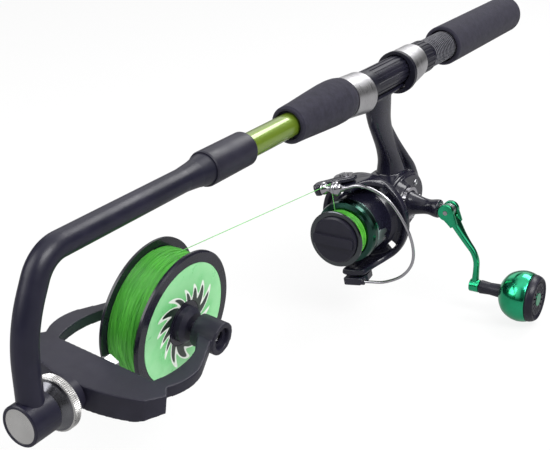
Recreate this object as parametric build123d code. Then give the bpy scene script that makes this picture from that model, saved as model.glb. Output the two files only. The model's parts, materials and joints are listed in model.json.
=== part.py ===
from build123d import *
import math
import os

os.makedirs("parts", exist_ok=True)

# Fishing line winder: a short rod handle with a spinning reel under it, and a bent arm
# at the front whose swivelling fork holds a supply spool of line.
# Millimetres. +X runs forward along the rod, +Y to the crank side, +Z up.
# The origin is on the rod axis, half way along the rear grip.

# ---------------------------------------------------------------- fits
glue = 0.05  # radial gap of a bonded or pressed joint
running = 0.06  # radial gap of a turning or sliding joint
apart = 0.35  # gap between faces that move past each other

# ---------------------------------------------------------------- rod handle
rear_grip_length = 127.0
rear_grip_r = 13.85
rear_grip_dome = 9.0
grip_recess = 4.0
blank_r = 7.0
blank_wall = 1.6
thread_r = 10.1
bare_thread = 33.4
nut_length = 16.5
nut_r = 11.1
nut_flutes = 24
hood_length = 20.6
hood_rear_r = 12.0
hood_front_r = 13.6
hood_drop = 2.0
ring_length = 3.4
ring_r = 14.0
barrel_r = 9.45
barrel_ridges = 18
ridge_depth = 0.45
hood_gap = 52.6
fixed_hood_length = 21.7
fixed_hood_r = 13.4
fixed_hood_drop = 2.6
fore_grip_length = 63.3
fore_grip_rear_r = 12.7
fore_grip_r = 13.6
fore_grip_front_r = 11.0
bare_blank = 43.7
sleeve_length = 38.2
sleeve_r = 9.46
sleeve_lip = 4.9

grip_front = rear_grip_length / 2
seat_rear = grip_front - grip_recess
nut_rear = grip_front + bare_thread
nut_front = nut_rear + nut_length
hood_front = nut_front + hood_length
ring_front = hood_front + ring_length
fixed_hood_rear = ring_front + hood_gap
fore_rear = fixed_hood_rear + fixed_hood_length
fore_front = fore_rear + fore_grip_length
sleeve_rear = fore_front + bare_blank
sleeve_front = sleeve_rear + sleeve_length
blank_front = sleeve_front - sleeve_lip
blank_bore = blank_r - blank_wall

# ---------------------------------------------------------------- winder arm
arm_r = 6.2
arm_cone_r = 8.5
arm_cone_length = 18.0
arm_spigot = 22.0
arm_reach = 133.6
arm_bend_run = 16.1
arm_bend_drop = 30.3
upper_bend_r = 18.0
lower_bend_r = 67.0
head_drop = 71.5
head_r = 10.0
head_rear = 8.1
head_front = 8.0
head_disc_r = 8.4
head_disc_depth = 1.0
stud_r = 3.0
stud_depth = 11.0
washer_r = 9.0
washer_step_r = 7.6
washer_length = 6.9
tension_nut_r = 13.5
tension_nut_rim = 4.5
tension_nut_cone = 3.9
tension_nut_cone_r = 8.0
tension_nut_flutes = 40
end_nut_r = 5.8
end_nut_length = 4.6

arm_x = sleeve_front + arm_reach
nut_cone_face = -head_rear - apart
nut_rim_front = nut_cone_face - tension_nut_cone
nut_rim_rear = nut_rim_front - tension_nut_rim

# ---------------------------------------------------------------- fork and line spool
fork_tilt = 7.76
fork_half_thickness = 6.2
bar_front = nut_rim_rear - washer_length - 2 * apart
bar_depth = 23.7
bar_half_width = 34.6
bar_crescent = 8.9
bar_corner_out = 40.0
bar_corner_back = 5.8
spool_reach = 100.7
boss_r = 8.6
boss_rise = 3.2
boss_outer = 30.5
boss_bore = 5.75
boss_floor = 1.6
retainer_depth = 2.3
retainer_thickness = 1.2
arm_neck_in = 28.1
arm_bow_in = 30.5
arm_root_in = 27.0
arm_bow_out = 39.6
arm_root_out = 34.5
arm_neck_out = 36.8

spool_flange_r = 38.0
spool_near = 7.5
spool_far = 16.2
flange_thickness = 2.0
spool_hub_r = 12.0
spool_bore_r = 7.16
label_r = 32.0
label_thickness = 0.35
cone_nose_r = 7.1
cone_grip = 2.5
cone_flange_r = 9.5
plunger_flange = 5.2
plunger_slide = 3.0
collar_r = 5.4
collar_length = 1.2
pin_r = 3.0
pin_reach = 3.8
spring_r = 4.6
spring_wire = 0.6
spring_curls = 4

line_wire = 0.7
line_pitch = 1.15
line_pack_r = 33.3
line_loops = 16
line_end_gap = 0.9

bar_back = bar_front - bar_depth
flange_inner_near = spool_near - flange_thickness
flange_inner_far = -spool_far + flange_thickness
boss_inner = spool_near + plunger_flange + plunger_slide + 0.9
collar_v = boss_inner + boss_floor + 0.1
retainer_v = boss_outer - retainer_depth - retainer_thickness

# ---------------------------------------------------------------- reel
reel_drop = 90.0
foot_length = 73.0
foot_width = 13.0
foot_tip_width = 10.0
foot_thickness = 3.3
foot_tip_thickness = 1.8
foot_play = 0.4
housing_half_width = 12.0
housing_wall = 1.9
housing_round = 5.0
housing_front = 7.3
housing_rear = -53.7
neck_length = 3.0
neck_r = 9.6
cover_thickness = 3.5
cover_boss = 3.0
cover_boss_r = 13.0
cover_boss_top_r = 10.9
crank_back = 10.2
crank_rise = 5.5
screw_r = 1.1
screw_head_r = 2.2
screw_head = 1.1
screw_length = 9.0
post_wall = 1.5
rear_screw_back = 47.5
slider_length = 8.0
slider_half_width = 4.5
slider_half_height = 6.0

module = 0.6
pinion_teeth = 8
gear_teeth = 40
pinion_tip = 0.45
pinion_root = 0.55
gear_tip = 0.4
tooth_clearance = 0.2
tooth_length = 3.0
gear_disc = 3.0
journal_r = 3.0
bearing_r = 6.6
bearing_length = 5.0
shaft_bearing_r = 5.4
shaft_bearing_length = 2.5
shaft_r = 1.25
crank_shaft_r = 3.0

rotor_gap = 1.0
rotor_turn = 10.0
rotor_floor = 5.0
rotor_base_r = 22.5
cup_r = 19.5
cup_wall = 1.9
cup_length = 25.4
rotor_arm_r = 31.0
rotor_arm_thickness = 4.6
rotor_arm_length = 30.0
rotor_arm_angle = 38.0
rotor_window_length = 12.0
rotor_window_width = 9.0
plate_length = 12.0
plate_half_width = 6.5
plate_depth = 0.8
rotor_nut_r = 5.0
rotor_nut_length = 4.0

stroke_back = 6.0
skirt_lap = 1.0
skirt_r = 20.67
skirt_gap = 0.35
web_thickness = 1.0
pack_width = 9.5
arbor_r = 11.0
reel_pack_r = 15.5
reel_loops = 7
lip_r = 18.45
lip_width = 2.2
drag_knob_r = 15.25
drag_knob_face = 3.2
drag_boss_r = 9.1
drag_boss = 2.6
drag_washer_stack = 1.6
finger_bar = 1.8
finger_bar_width = 6.4

pivot_back = 20.0
bail_plate = 4.0
bail_pin_r = 1.5
roller_x = 53.3
roller_r = 3.2
roller_groove_r = 2.2
roller_half_length = 4.6
roller_screw_r = 1.0
bail_wire_r = 0.9
cone_tip_y = 9.0
lever_x = 40.0

foot_x = (ring_front + fixed_hood_rear) / 2
rotor_rear = housing_front + neck_length + rotor_gap
cup_front = rotor_rear + cup_length
web_rear = cup_front + stroke_back + apart
pack_rear = web_rear + web_thickness
pack_front = pack_rear + pack_width
lip_front = pack_front + lip_width
pivot_x = roller_x - pivot_back
roller_rise = rotor_arm_r + 2.0
lever_rise = rotor_arm_r + 3.5
mesh_x = gear_teeth * module / 2 - crank_back
pinion_r = pinion_teeth * module / 2
cover_face = housing_half_width + cover_thickness
rear_screw_x = -rear_screw_back
slider_rear = rear_screw_x + screw_r + post_wall + apart + stroke_back

# ---------------------------------------------------------------- crank
shroud_start = 0.5
shroud_length = 22.7
shroud_base_r = 8.5
shroud_waist_r = 5.1
shroud_end_r = 6.1
cover_ring_r = 11.0
cover_ring_length = 2.2
hinge_reach = 6.0
hinge_r = 5.6
hinge_half_width = 5.8
tongue_half_width = 2.4
tongue_r = 4.5
fold_pin_r = 1.5
crank_drop = 49.1
crank_out = 20.9
crank_bend_out = 19.0
crank_bend_drop = 22.0
crank_boss_r = 4.3
crank_boss_half = 3.2
post_r = 2.0
post_head_r = 3.3
post_head = 1.6
sleeve_knob_length = 14.2
knob_sleeve_r = 4.5
ball_r = 16.6
ball_length = 18.7
rim_length = 7.0
rim_front_r = 13.2
knob_face_r = 10.6
knob_slots = 16
knob_cap_r = 4.2

shroud_y = cover_face + cover_boss + shroud_start
shroud_end = shroud_y + shroud_length
hinge_y = shroud_end + hinge_reach
knob_y = hinge_y + crank_out

# ---------------------------------------------------------------- the running line
cord_r = 0.2
cord_end_gap = 0.3

# ---------------------------------------------------------------- frames
HEAD = Pos(arm_x, 0, -head_drop)
FORK = HEAD * Rot(-fork_tilt, 0, 0)
SPOOL = FORK * Pos(-spool_reach, 0, boss_rise) * Rot(0, 0, 90)
REEL = Pos(foot_x, 0, -reel_drop)
ROTOR = REEL * Rot(rotor_turn, 0, 0)
CRANK = REEL * Pos(-crank_back, 0, crank_rise) * Rot(0, 0, 90)
ROLLER = ROTOR * Pos(roller_x, 0, roller_rise) * Rot(0, 0, 90)


# ---------------------------------------------------------------- helpers
def turned(profile):
    """Solid of revolution about X from (along, radius) points."""
    outline = Polyline(*[(x, r) for x, r in profile], close=True)
    return revolve(make_face(outline), Axis.X)


def lathe(edges):
    """Solid of revolution about X from joined profile edges."""
    return revolve(make_face(Curve() + edges), Axis.X)


def rod(start, end, r):
    """Round bar along X."""
    return Pos((start + end) / 2, 0, 0) * Rot(0, 90, 0) * Cylinder(r, end - start)


def tube(start, end, outer, inner):
    """Round tube along X."""
    return rod(start, end, outer) - rod(start - 1, end + 1, inner)


def block(x0, x1, y0, y1, z0, z1):
    """Box between two corners."""
    centre = Pos((x0 + x1) / 2, (y0 + y1) / 2, (z0 + z1) / 2)
    return centre * Box(x1 - x0, y1 - y0, z1 - z0)


def plate(points, z0, z1):
    """Flat plate with a polygon outline, between two heights."""
    return Pos(0, 0, z0) * extrude(make_face(Polyline(*points, close=True)), z1 - z0)


def side_plate(face, y0, y1):
    """Plate from an outline drawn in X and Z, between two depths along Y."""
    return Pos(0, y1, 0) * Rot(90, 0, 0) * extrude(face, y1 - y0)


def cone_between(x0, r0, z0, x1, r1, z1):
    """Skewed cone along X between two circles."""
    rear = Pos(x0, 0, z0) * Rot(0, 90, 0) * Circle(r0)
    front = Pos(x1, 0, z1) * Rot(0, 90, 0) * Circle(r1)
    return loft([rear, front], ruled=True)


def ring_of(item, count):
    """Copies of an item spaced evenly about X."""
    return [Rot(360 * k / count, 0, 0) * item for k in range(count)]


def corner_radii(points):
    """Largest fair bend radius at each inner point of a route."""
    radii = []
    for before, here, after in zip(points, points[1:], points[2:]):
        run_in = Vector(*here) - Vector(*before)
        run_out = Vector(*after) - Vector(*here)
        half_turn = math.radians(run_in.get_angle(run_out)) / 2
        shorter = min(run_in.length, run_out.length)
        radii.append(0.45 * shorter / math.tan(half_turn))
    return radii


def round_wire(path, r):
    """Round bar swept along a path."""
    return sweep(Plane(path @ 0, z_dir=path % 0) * Circle(r), path=path)


def biarc(p0, t0, p1, t1):
    """Two arcs that join two points, each with its direction."""
    chord = p1 - p0
    both = t0 + t1
    spread = 2 * (1 - t0.dot(t1))
    along = chord.dot(both)
    reach = (math.sqrt(along**2 + spread * chord.dot(chord)) - along) / spread
    leave = p0 + t0 * reach
    arrive = p1 - t1 * reach
    middle = (leave + arrive) * 0.5
    first = TangentArc(p0, middle, tangent=t0)
    second = TangentArc(middle, p1, tangent=(arrive - leave).normalized())
    return [first, second]


def helix_stations(r, start, rise, first_angle, turn, loops):
    """Points and directions each quarter turn of a helix about X."""
    steps = 4 * loops
    quarter = math.pi / 2
    stations = []
    for k in range(steps + 1):
        angle = first_angle + turn * quarter * k
        point = Vector(start + rise * k / steps, r * math.cos(angle), r * math.sin(angle))
        slope = rise / steps / quarter
        heading = Vector(slope, -r * turn * math.sin(angle), r * turn * math.cos(angle))
        stations.append((point, heading.normalized()))
    return stations


def wound_path(stations, lead):
    """Path through helix stations, straight for one lead at both ends."""
    first, heading = stations[0]
    edges = [Line(first - heading * lead, first)]
    for (p0, t0), (p1, t1) in zip(stations, stations[1:]):
        edges += biarc(p0, t0, p1, t1)
    last, leaving = stations[-1]
    edges.append(Line(last, last + leaving * lead))
    return Wire(edges)


def least_turn_gap(stations, wire):
    """Least gap between neighbouring turns, measured on points."""
    points = [point for point, heading in stations]
    apart_turns = [
        (a - b).length for k, a in enumerate(points) for b in points[k + 3 :]
    ]
    return min(apart_turns) - wire


# ---------------------------------------------------------------- rod handle
def make_rear_grip():
    tip = (-grip_front, rear_grip_r * 0.5)
    shoulder = (-grip_front + rear_grip_dome * 0.3, rear_grip_r * 0.86)
    side = (-grip_front + rear_grip_dome, rear_grip_r)
    rim = (grip_front - 1.5, rear_grip_r)
    face = (grip_front, rear_grip_r - 1.5)
    edge = (grip_front - 0.44, rear_grip_r - 0.44)
    front_axis = (grip_front, 0)
    rear_axis = (-grip_front, 0)
    body = lathe([
        Line(rear_axis, tip),
        ThreePointArc(tip, shoulder, side),
        Line(side, rim),
        ThreePointArc(rim, edge, face),
        Polyline(face, front_axis, rear_axis),
    ])
    recess = rod(grip_front - grip_recess, grip_front + 1, thread_r + 1.4)
    bore = rod(-grip_front + 12, grip_front, blank_r + glue)
    return body - recess - bore


def make_rod_blank():
    return tube(-grip_front + 12.2, blank_front, blank_r, blank_bore)


def make_reel_seat():
    thread_front = foot_x - foot_length / 2 - foot_play
    seat = rod(seat_rear, fore_rear, barrel_r) + rod(seat_rear, thread_front, thread_r)
    ridge_width = math.pi * barrel_r / barrel_ridges
    groove = block(
        ring_front + 1.5, fixed_hood_rear - 1.5,
        -ridge_width / 2, ridge_width / 2,
        barrel_r - ridge_depth, barrel_r + 1,
    )
    return seat - ring_of(groove, barrel_ridges) - rod(seat_rear - 1, fore_rear + 1, blank_r + glue)


def foot_r():
    """Radius of the reel foot's rounded underside about the rod axis."""
    return barrel_r + glue + foot_thickness


def foot_pocket(start, end):
    """Space under a hood for the end of the reel foot."""
    half = foot_width / 2 + foot_play
    depth = foot_r() + foot_play
    return block(start, end, -half, half, -depth - 1, 0) & rod(start, end, depth)


def make_fixed_hood():
    shell = cone_between(
        fixed_hood_rear, fixed_hood_r, -fixed_hood_drop,
        fore_rear, fore_grip_rear_r, -fixed_hood_drop / 3,
    )
    pocket = foot_pocket(fixed_hood_rear - 1, foot_x + foot_length / 2 + foot_play)
    return shell - rod(fixed_hood_rear - 1, fore_rear + 1, barrel_r + glue) - pocket


def make_sliding_hood():
    shell = cone_between(nut_front, hood_rear_r, 0, hood_front, hood_front_r, -hood_drop)
    pocket = foot_pocket(foot_x - foot_length / 2 - foot_play, hood_front + 1)
    return shell - rod(nut_front - 1, hood_front + 1, thread_r + running) - pocket


def make_hood_ring():
    ring = Pos(0, 0, -hood_drop) * rod(hood_front, ring_front, ring_r)
    bore = rod(hood_front - 1, ring_front + 1, thread_r + running)
    return ring - bore - foot_pocket(hood_front - 1, ring_front + 1)


def make_lock_nut():
    body = turned([
        (nut_rear, 0),
        (nut_rear, nut_r - 0.6),
        (nut_rear + 0.6, nut_r),
        (nut_front - 0.6, nut_r),
        (nut_front, nut_r - 0.6),
        (nut_front, 0),
    ])
    flute = Pos(0, 0, nut_r + 0.35) * rod(nut_rear + 2, nut_front - 2, 0.8)
    return body - ring_of(flute, nut_flutes) - rod(nut_rear - 1, nut_front + 1, thread_r + running)


def make_fore_grip():
    body = turned([
        (fore_rear, 0),
        (fore_rear, fore_grip_rear_r - 1.0),
        (fore_rear + 1.5, fore_grip_rear_r),
        (fore_rear + 5, fore_grip_r - 0.3),
        (fore_rear + 10, fore_grip_r),
        (fore_rear + 18, fore_grip_r - 0.1),
        (fore_rear + 34, fore_grip_r - 1.0),
        (fore_front - 12, fore_grip_front_r + 0.5),
        (fore_front - 1.5, fore_grip_front_r),
        (fore_front, fore_grip_front_r - 1.2),
        (fore_front, 0),
    ])
    recess = rod(fore_front - 3, fore_front + 1, blank_r + 1.6)
    return body - recess - rod(fore_rear - 1, fore_front + 1, blank_r + glue)


def make_socket_sleeve():
    body = turned([
        (sleeve_rear, 0),
        (sleeve_rear, sleeve_r - 1.2),
        (sleeve_rear + 2, sleeve_r),
        (sleeve_front - 1, sleeve_r),
        (sleeve_front, sleeve_r - 0.3),
        (sleeve_front, 0),
    ])
    through = rod(sleeve_rear - 1, sleeve_front + 1, blank_bore + glue)
    return body - through - rod(sleeve_rear - 1, blank_front + glue, blank_r + glue)


# ---------------------------------------------------------------- winder arm
def make_winder_arm():
    path = FilletPolyline(
        (sleeve_front + arm_cone_length / 2, 0, 0),
        (arm_x - arm_bend_run, 0, 0),
        (arm_x, 0, -arm_bend_drop),
        (arm_x, 0, -head_drop),
        radius=[upper_bend_r, lower_bend_r],
    )
    cone = turned([
        (sleeve_front, 0),
        (sleeve_front, arm_cone_r),
        (sleeve_front + arm_cone_length * 0.45, arm_r + 0.9),
        (sleeve_front + arm_cone_length, arm_r),
        (sleeve_front + arm_cone_length, 0),
    ])
    spigot = rod(sleeve_front - arm_spigot, sleeve_front + 1, blank_bore)
    head = HEAD * turned([
        (-head_rear, 0),
        (-head_rear, head_r - 0.5),
        (-head_rear + 0.5, head_r),
        (head_front - 0.5, head_r),
        (head_front, head_r - 0.5),
        (head_front, 0),
    ])
    disc_seat = HEAD * rod(head_front - head_disc_depth, head_front + 1, head_disc_r + glue)
    stud_hole = HEAD * rod(-head_rear - 1, -head_rear + stud_depth, stud_r + glue)
    return round_wire(path, arm_r) + cone + spigot + head - disc_seat - stud_hole


def make_head_disc():
    return HEAD * rod(head_front - head_disc_depth, head_front - 0.3, head_disc_r)


def make_swivel_stud():
    end = bar_back - apart - end_nut_length - 0.8
    return HEAD * rod(end, -head_rear + stud_depth - 0.2, stud_r)


def make_friction_washer():
    rear = bar_front + apart
    body = turned([
        (rear, 0),
        (rear, washer_r),
        (rear + washer_length * 0.6, washer_r),
        (rear + washer_length * 0.65, washer_step_r),
        (rear + washer_length, washer_step_r),
        (rear + washer_length, 0),
    ])
    return HEAD * (body - rod(rear - 1, rear + washer_length + 1, stud_r + glue))


def make_tension_nut():
    body = turned([
        (nut_rim_rear, 0),
        (nut_rim_rear, tension_nut_r - 0.5),
        (nut_rim_rear + 0.5, tension_nut_r),
        (nut_rim_front - 0.4, tension_nut_r),
        (nut_rim_front, tension_nut_r - 0.6),
        (nut_cone_face, tension_nut_cone_r),
        (nut_cone_face, 0),
    ])
    flute = Pos(0, 0, tension_nut_r + 0.3) * rod(nut_rim_rear - 1, nut_rim_front, 0.6)
    bore = rod(nut_rim_rear - 1, nut_cone_face + 1, stud_r + running)
    return HEAD * (body - ring_of(flute, tension_nut_flutes) - bore)


def make_stud_end_nut():
    front = bar_back - apart
    hexagon = Pos(front - end_nut_length, 0, 0) * Rot(0, 90, 0)
    body = hexagon * extrude(RegularPolygon(end_nut_r, 6), end_nut_length)
    return HEAD * (body - rod(front - end_nut_length - 1, front + 1, stud_r + glue))


# ---------------------------------------------------------------- fork
def fork_bar():
    corner = bar_front - bar_crescent
    crescent = ThreePointArc((corner, -bar_half_width), (bar_front, 0), (corner, bar_half_width))
    back = Polyline(
        (corner, bar_half_width),
        (bar_back + bar_corner_back, bar_corner_out),
        (bar_back, bar_half_width + 1.4),
        (bar_back, -bar_half_width - 1.4),
        (bar_back + bar_corner_back, -bar_corner_out),
        (corner, -bar_half_width),
    )
    outline = make_face(Curve() + [crescent, back])
    bar = Pos(0, 0, -fork_half_thickness) * extrude(outline, 2 * fork_half_thickness)
    rise = fork_half_thickness / 2
    for side in (-1, 1):
        under = Polyline(
            (side * (bar_half_width - 4), -fork_half_thickness - 1),
            (side * (bar_half_width - 4), -fork_half_thickness),
            (side * (bar_corner_out + 1), -fork_half_thickness + rise),
            (side * (bar_corner_out + 1), -fork_half_thickness - 1),
            close=True,
        )
        wedge = Plane.YZ * make_face(under)
        bar -= Pos(bar_back - 1, 0, 0) * extrude(wedge, bar_depth + 2)
    return bar


def fork_arm():
    root = bar_back + 2.5
    neck = -spool_reach + 20.3
    tip = -spool_reach + 0.8
    outer = ThreePointArc((root, arm_root_out), (root - 16, arm_bow_out), (neck + 5, arm_neck_out))
    end = Polyline(
        (neck + 5, arm_neck_out),
        (tip + 11, arm_neck_out - 6),
        (tip, boss_outer - 4.5),
        (tip, boss_inner + 1),
        (tip + 7, boss_inner + 4),
        (neck, arm_neck_in),
    )
    inner = ThreePointArc((neck, arm_neck_in), (neck + 14.4, arm_bow_in), (root, arm_root_in))
    root_edge = Line((root, arm_root_in), (root, arm_root_out))
    return extrude(make_face(Curve() + [outer, end, inner, root_edge]), fork_half_thickness)


def make_spool_fork():
    fork = fork_bar()
    spool_place = Pos(-spool_reach, 0, boss_rise) * Rot(0, 0, 90)
    for side in (1, -1):
        arm = fork_arm()
        if side < 0:
            arm = mirror(arm, Plane.XZ)
        fork += arm
        ends = sorted((side * boss_inner, side * boss_outer))
        fork += spool_place * rod(ends[0], ends[1], boss_r)
    near_bore = rod(boss_inner + boss_floor, boss_outer + 1, boss_bore)
    pin_hole = rod(boss_inner - 1, boss_outer, pin_r + running)
    far_bore = rod(-boss_outer - 1, -boss_inner + 1, boss_bore)
    fork -= spool_place * (near_bore + pin_hole + far_bore)
    fork -= rod(bar_back - 1, bar_front + 1, stud_r + running)
    return FORK * fork


def make_fixed_cone():
    body = turned([
        (-boss_outer + 3, 0),
        (-boss_outer + 3, boss_bore - glue),
        (-boss_inner, boss_bore - glue),
        (-boss_inner, cone_nose_r),
        (-spool_far + cone_grip - 0.8, cone_nose_r),
        (-spool_far + cone_grip, cone_nose_r - 1.2),
        (-spool_far + cone_grip, 0),
    ])
    return SPOOL * body


def make_plunger_cone():
    flange_end = spool_near + 0.1 + plunger_flange
    body = turned([
        (spool_near - cone_grip, 0),
        (spool_near - cone_grip, cone_nose_r - 1.2),
        (spool_near - cone_grip + 0.8, cone_nose_r),
        (spool_near + 0.1, cone_nose_r),
        (spool_near + 0.1, cone_flange_r),
        (flange_end - 2.0, cone_flange_r),
        (flange_end, cone_flange_r - 2.4),
        (flange_end, pin_r),
        (collar_v, pin_r),
        (collar_v, collar_r),
        (collar_v + collar_length, collar_r),
        (collar_v + collar_length, pin_r),
        (collar_v + collar_length + pin_reach, pin_r),
        (collar_v + collar_length + pin_reach, 0),
    ])
    return SPOOL * body


def make_spring_retainer():
    end = retainer_v + retainer_thickness
    return SPOOL * tube(retainer_v, end, boss_bore - glue, pin_r + apart)


def make_cone_spring():
    start = collar_v + collar_length
    bend = spring_wire * 1.4
    lead = spring_wire
    rise = retainer_v - start - 2 * (bend + lead)
    stations = helix_stations(spring_r, start + bend + lead, rise, 0, 1, spring_curls)
    print("spring least gap", round(least_turn_gap(stations, spring_wire), 3))
    ahead = Vector(1, 0, 0)
    first, heading = stations[0]
    last, leaving = stations[-1]
    seat_in = first - heading * bend - ahead * bend
    seat_out = last + leaving * bend + ahead * bend
    ends = [(seat_in, ahead)] + stations + [(seat_out, ahead)]
    return SPOOL * round_wire(wound_path(ends, lead), spring_wire / 2)


# ---------------------------------------------------------------- line spool
def make_line_spool():
    edge = 0.8
    body = turned([
        (-spool_far, spool_bore_r),
        (-spool_far, spool_flange_r - edge),
        (-spool_far + edge, spool_flange_r),
        (flange_inner_far, spool_flange_r),
        (flange_inner_far, spool_hub_r),
        (flange_inner_near, spool_hub_r),
        (flange_inner_near, spool_flange_r),
        (spool_near - edge, spool_flange_r),
        (spool_near, spool_flange_r - edge),
        (spool_near, spool_bore_r),
    ])
    seat = label_r + 0.3
    near = tube(spool_near - label_thickness - glue, spool_near + 1, seat, spool_hub_r)
    far = tube(-spool_far - 1, -spool_far + label_thickness + glue, seat, spool_hub_r)
    return SPOOL * (body - near - far)


def make_spool_labels():
    inner = spool_hub_r + 0.3
    near = tube(spool_near - label_thickness, spool_near, label_r, inner)
    far = tube(-spool_far, -spool_far + label_thickness, label_r, inner)
    return SPOOL * Compound(children=[near, far])


def make_line_core():
    start = flange_inner_far + glue
    return SPOOL * tube(start, flange_inner_near - glue, line_pack_r, spool_hub_r + glue)


def line_wind_r():
    return line_pack_r + line_wire / 2 + 0.02


def roller_corner():
    """Where the two straight runs of the running line would meet, behind the roller."""
    bend = roller_groove_r + cord_r + glue
    rise = (ROTOR * Pos(roller_x, 0, roller_rise)).position.Z
    top = (SPOOL * Pos(0, 0, line_wind_r())).position
    slope = math.atan2(top.Z - rise, top.X - foot_x - roller_x)
    height = (bend - bend * math.sin(slope)) / math.cos(slope)
    return (ROTOR * Pos(roller_x - bend, 0, roller_rise + height)).position


def line_leave():
    """Angle on the supply winding, and place along it, where the line leaves."""
    corner = (SPOOL.inverse() * Pos(*roller_corner())).position
    distance = math.hypot(corner.Y, corner.Z)
    angle = math.atan2(corner.Z, corner.Y) + math.acos(line_wind_r() / distance)
    return angle, flange_inner_far + line_end_gap


def make_line_winding():
    angle, end = line_leave()
    rise = -line_pitch * line_loops
    start_angle = angle + 2 * math.pi * line_loops
    stations = helix_stations(line_wind_r(), end - rise, rise, start_angle, -1, line_loops)
    print("supply winding least gap", round(least_turn_gap(stations, line_wire), 3))
    return SPOOL * round_wire(wound_path(stations, line_wire), line_wire / 2)


# ---------------------------------------------------------------- reel body
def housing_face(inset):
    """Outline of the gear housing in X and Z, about the rotor axis."""
    top = crank_rise + gear_outer_r() + housing_wall + 1.0
    points = [
        (housing_front, top - 5.5),
        (housing_front, -13),
        (housing_front - 5, -19),
        (housing_front - 21, -22),
        (housing_rear + 14, -21),
        (housing_rear, -6),
        (housing_rear, 6),
        (housing_rear + 10, top - 3),
        (housing_rear + 25, top + 1),
        (housing_front - 16, top + 0.5),
    ]
    outline = make_face(Polyline(*points, close=True))
    outline = fillet(outline.vertices(), housing_round)
    if inset:
        outline = offset(outline, -inset)
    return outline


def gear_outer_r():
    reach = gear_teeth * module / 2 + tooth_length / 2
    return math.hypot(reach, crank_rise + module)


def reel_foot():
    half = foot_length / 2
    top = -barrel_r + 3
    under = -foot_r()
    tip = -barrel_r - glue - foot_tip_thickness
    side = [
        (foot_x - half, top), (foot_x - half, tip), (foot_x - half + 22, under),
        (foot_x + half - 22, under), (foot_x + half, tip), (foot_x + half, top),
    ]
    profile = side_plate(make_face(Polyline(*side, close=True)), -foot_width, foot_width)
    wide = foot_width / 2
    narrow = foot_tip_width / 2
    plan = [
        (foot_x - half, -narrow), (foot_x - half + 16, -wide), (foot_x + half - 16, -wide),
        (foot_x + half, -narrow), (foot_x + half, narrow), (foot_x + half - 16, wide),
        (foot_x - half + 16, wide), (foot_x - half, narrow),
    ]
    slab = profile & plate(plan, under - 1, top + 1)
    slab = slab & rod(foot_x - half - 1, foot_x + half + 1, foot_r())
    return slab - rod(foot_x - half - 1, foot_x + half + 1, barrel_r + glue)


def reel_stem():
    """Leaning stem, as ellipses from the foot down into the housing."""
    foot_z = -foot_r()
    sections = [
        (0.0, foot_z + 1.0, 13.0, 6.2),
        (-2.5, foot_z - 9.0, 10.0, 5.0),
        (-7.0, foot_z - 24.0, 9.4, 4.9),
        (-22.0, -reel_drop + 35.0, 10.0, 5.8),
        (-31.0, -reel_drop + 18.0, 13.5, 8.5),
    ]
    rings = [Pos(foot_x + x, 0, z) * Ellipse(a, b) for x, z, a, b in sections]
    return loft(rings)


def screw_places():
    return [(-34, 17), (rear_screw_x, 0), (-32, -16.5), (-1, -14.5)]


def make_reel_body():
    shell = side_plate(housing_face(0), -housing_half_width - 1, housing_half_width)
    rim = shell.edges().group_by(Axis.Y)[0]
    shell = fillet(rim, 3.0)
    neck = rod(0, housing_front + neck_length, neck_r)
    cavity = side_plate(housing_face(housing_wall), -housing_half_width + 1, housing_half_width + 1)
    posts = Compound(children=[
        Pos(x, 0, z) * Rot(90, 0, 0) * Cylinder(screw_r + post_wall, 2 * housing_half_width - 0.02)
        for x, z in screw_places()
    ])
    holes = [
        Pos(x, cover_face, z) * Rot(90, 0, 0) * Cylinder(screw_r + glue, 2 * screw_length + 1)
        for x, z in screw_places()
    ]
    shaft_seat = Pos(-crank_back, 0, crank_rise) * Rot(0, 0, 90)
    lug_end = shaft_bearing_length - housing_half_width
    lug = shaft_seat * rod(-housing_half_width, lug_end, shaft_bearing_r + 2)
    seat = shaft_seat * rod(-housing_half_width, 0, shaft_bearing_r + glue)
    neck_front = housing_front + neck_length
    nose = rod(neck_front - bearing_length, neck_front + 1, bearing_r + glue)
    journal = rod(0, neck_front, journal_r + 1.4)
    housing = REEL * (shell + neck)
    housing = housing + reel_stem() + reel_foot()
    posts = posts & side_plate(housing_face(0.5), -20, 20)
    housing = housing - REEL * cavity + REEL * posts + REEL * lug
    housing -= [REEL * cut for cut in holes + [seat, nose, journal]]
    return housing - rod(ring_front, fixed_hood_rear, barrel_r + glue)


def make_side_cover():
    top = cover_face
    panel = side_plate(housing_face(0), housing_half_width + 0.02, top)
    panel = fillet(panel.edges().group_by(Axis.Y)[-1], 1.4)
    shaft_place = Pos(-crank_back, 0, crank_rise) * Rot(0, 0, 90)
    boss = shaft_place * turned([
        (top - 2, 0), (top - 2, cover_boss_r), (top, cover_boss_r),
        (top + cover_boss, cover_boss_top_r), (top + cover_boss, 0),
    ])
    bearing = shaft_place * rod(housing_half_width - 1, top + cover_boss - 1.5, shaft_bearing_r + glue)
    through = shaft_place * rod(0, top + cover_boss + 1, crank_shaft_r + 1)
    holes = [
        Pos(x, top, z) * Rot(90, 0, 0) * Cylinder(screw_r + glue, 3 * cover_thickness)
        for x, z in screw_places()
    ]
    return REEL * (panel + boss - bearing - through - holes)


def make_cover_screws():
    screws = []
    for x, z in screw_places():
        shank = Rot(90, 0, 0) * Cylinder(screw_r, screw_length)
        shank = Pos(x, cover_face - screw_length / 2, z) * shank
        head = Rot(90, 0, 0) * Cylinder(screw_head_r, screw_head)
        head = Pos(x, cover_face + screw_head / 2, z) * head
        slot = Pos(x, cover_face + screw_head, z) * Box(2 * screw_head_r, screw_head, 0.6)
        screws.append(REEL * (shank + head - slot))
    return Compound(children=screws)


def make_cover_ring():
    start = cover_face + cover_boss + glue
    return CRANK * tube(start, start + cover_ring_length, cover_ring_r, shroud_base_r + apart)


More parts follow.
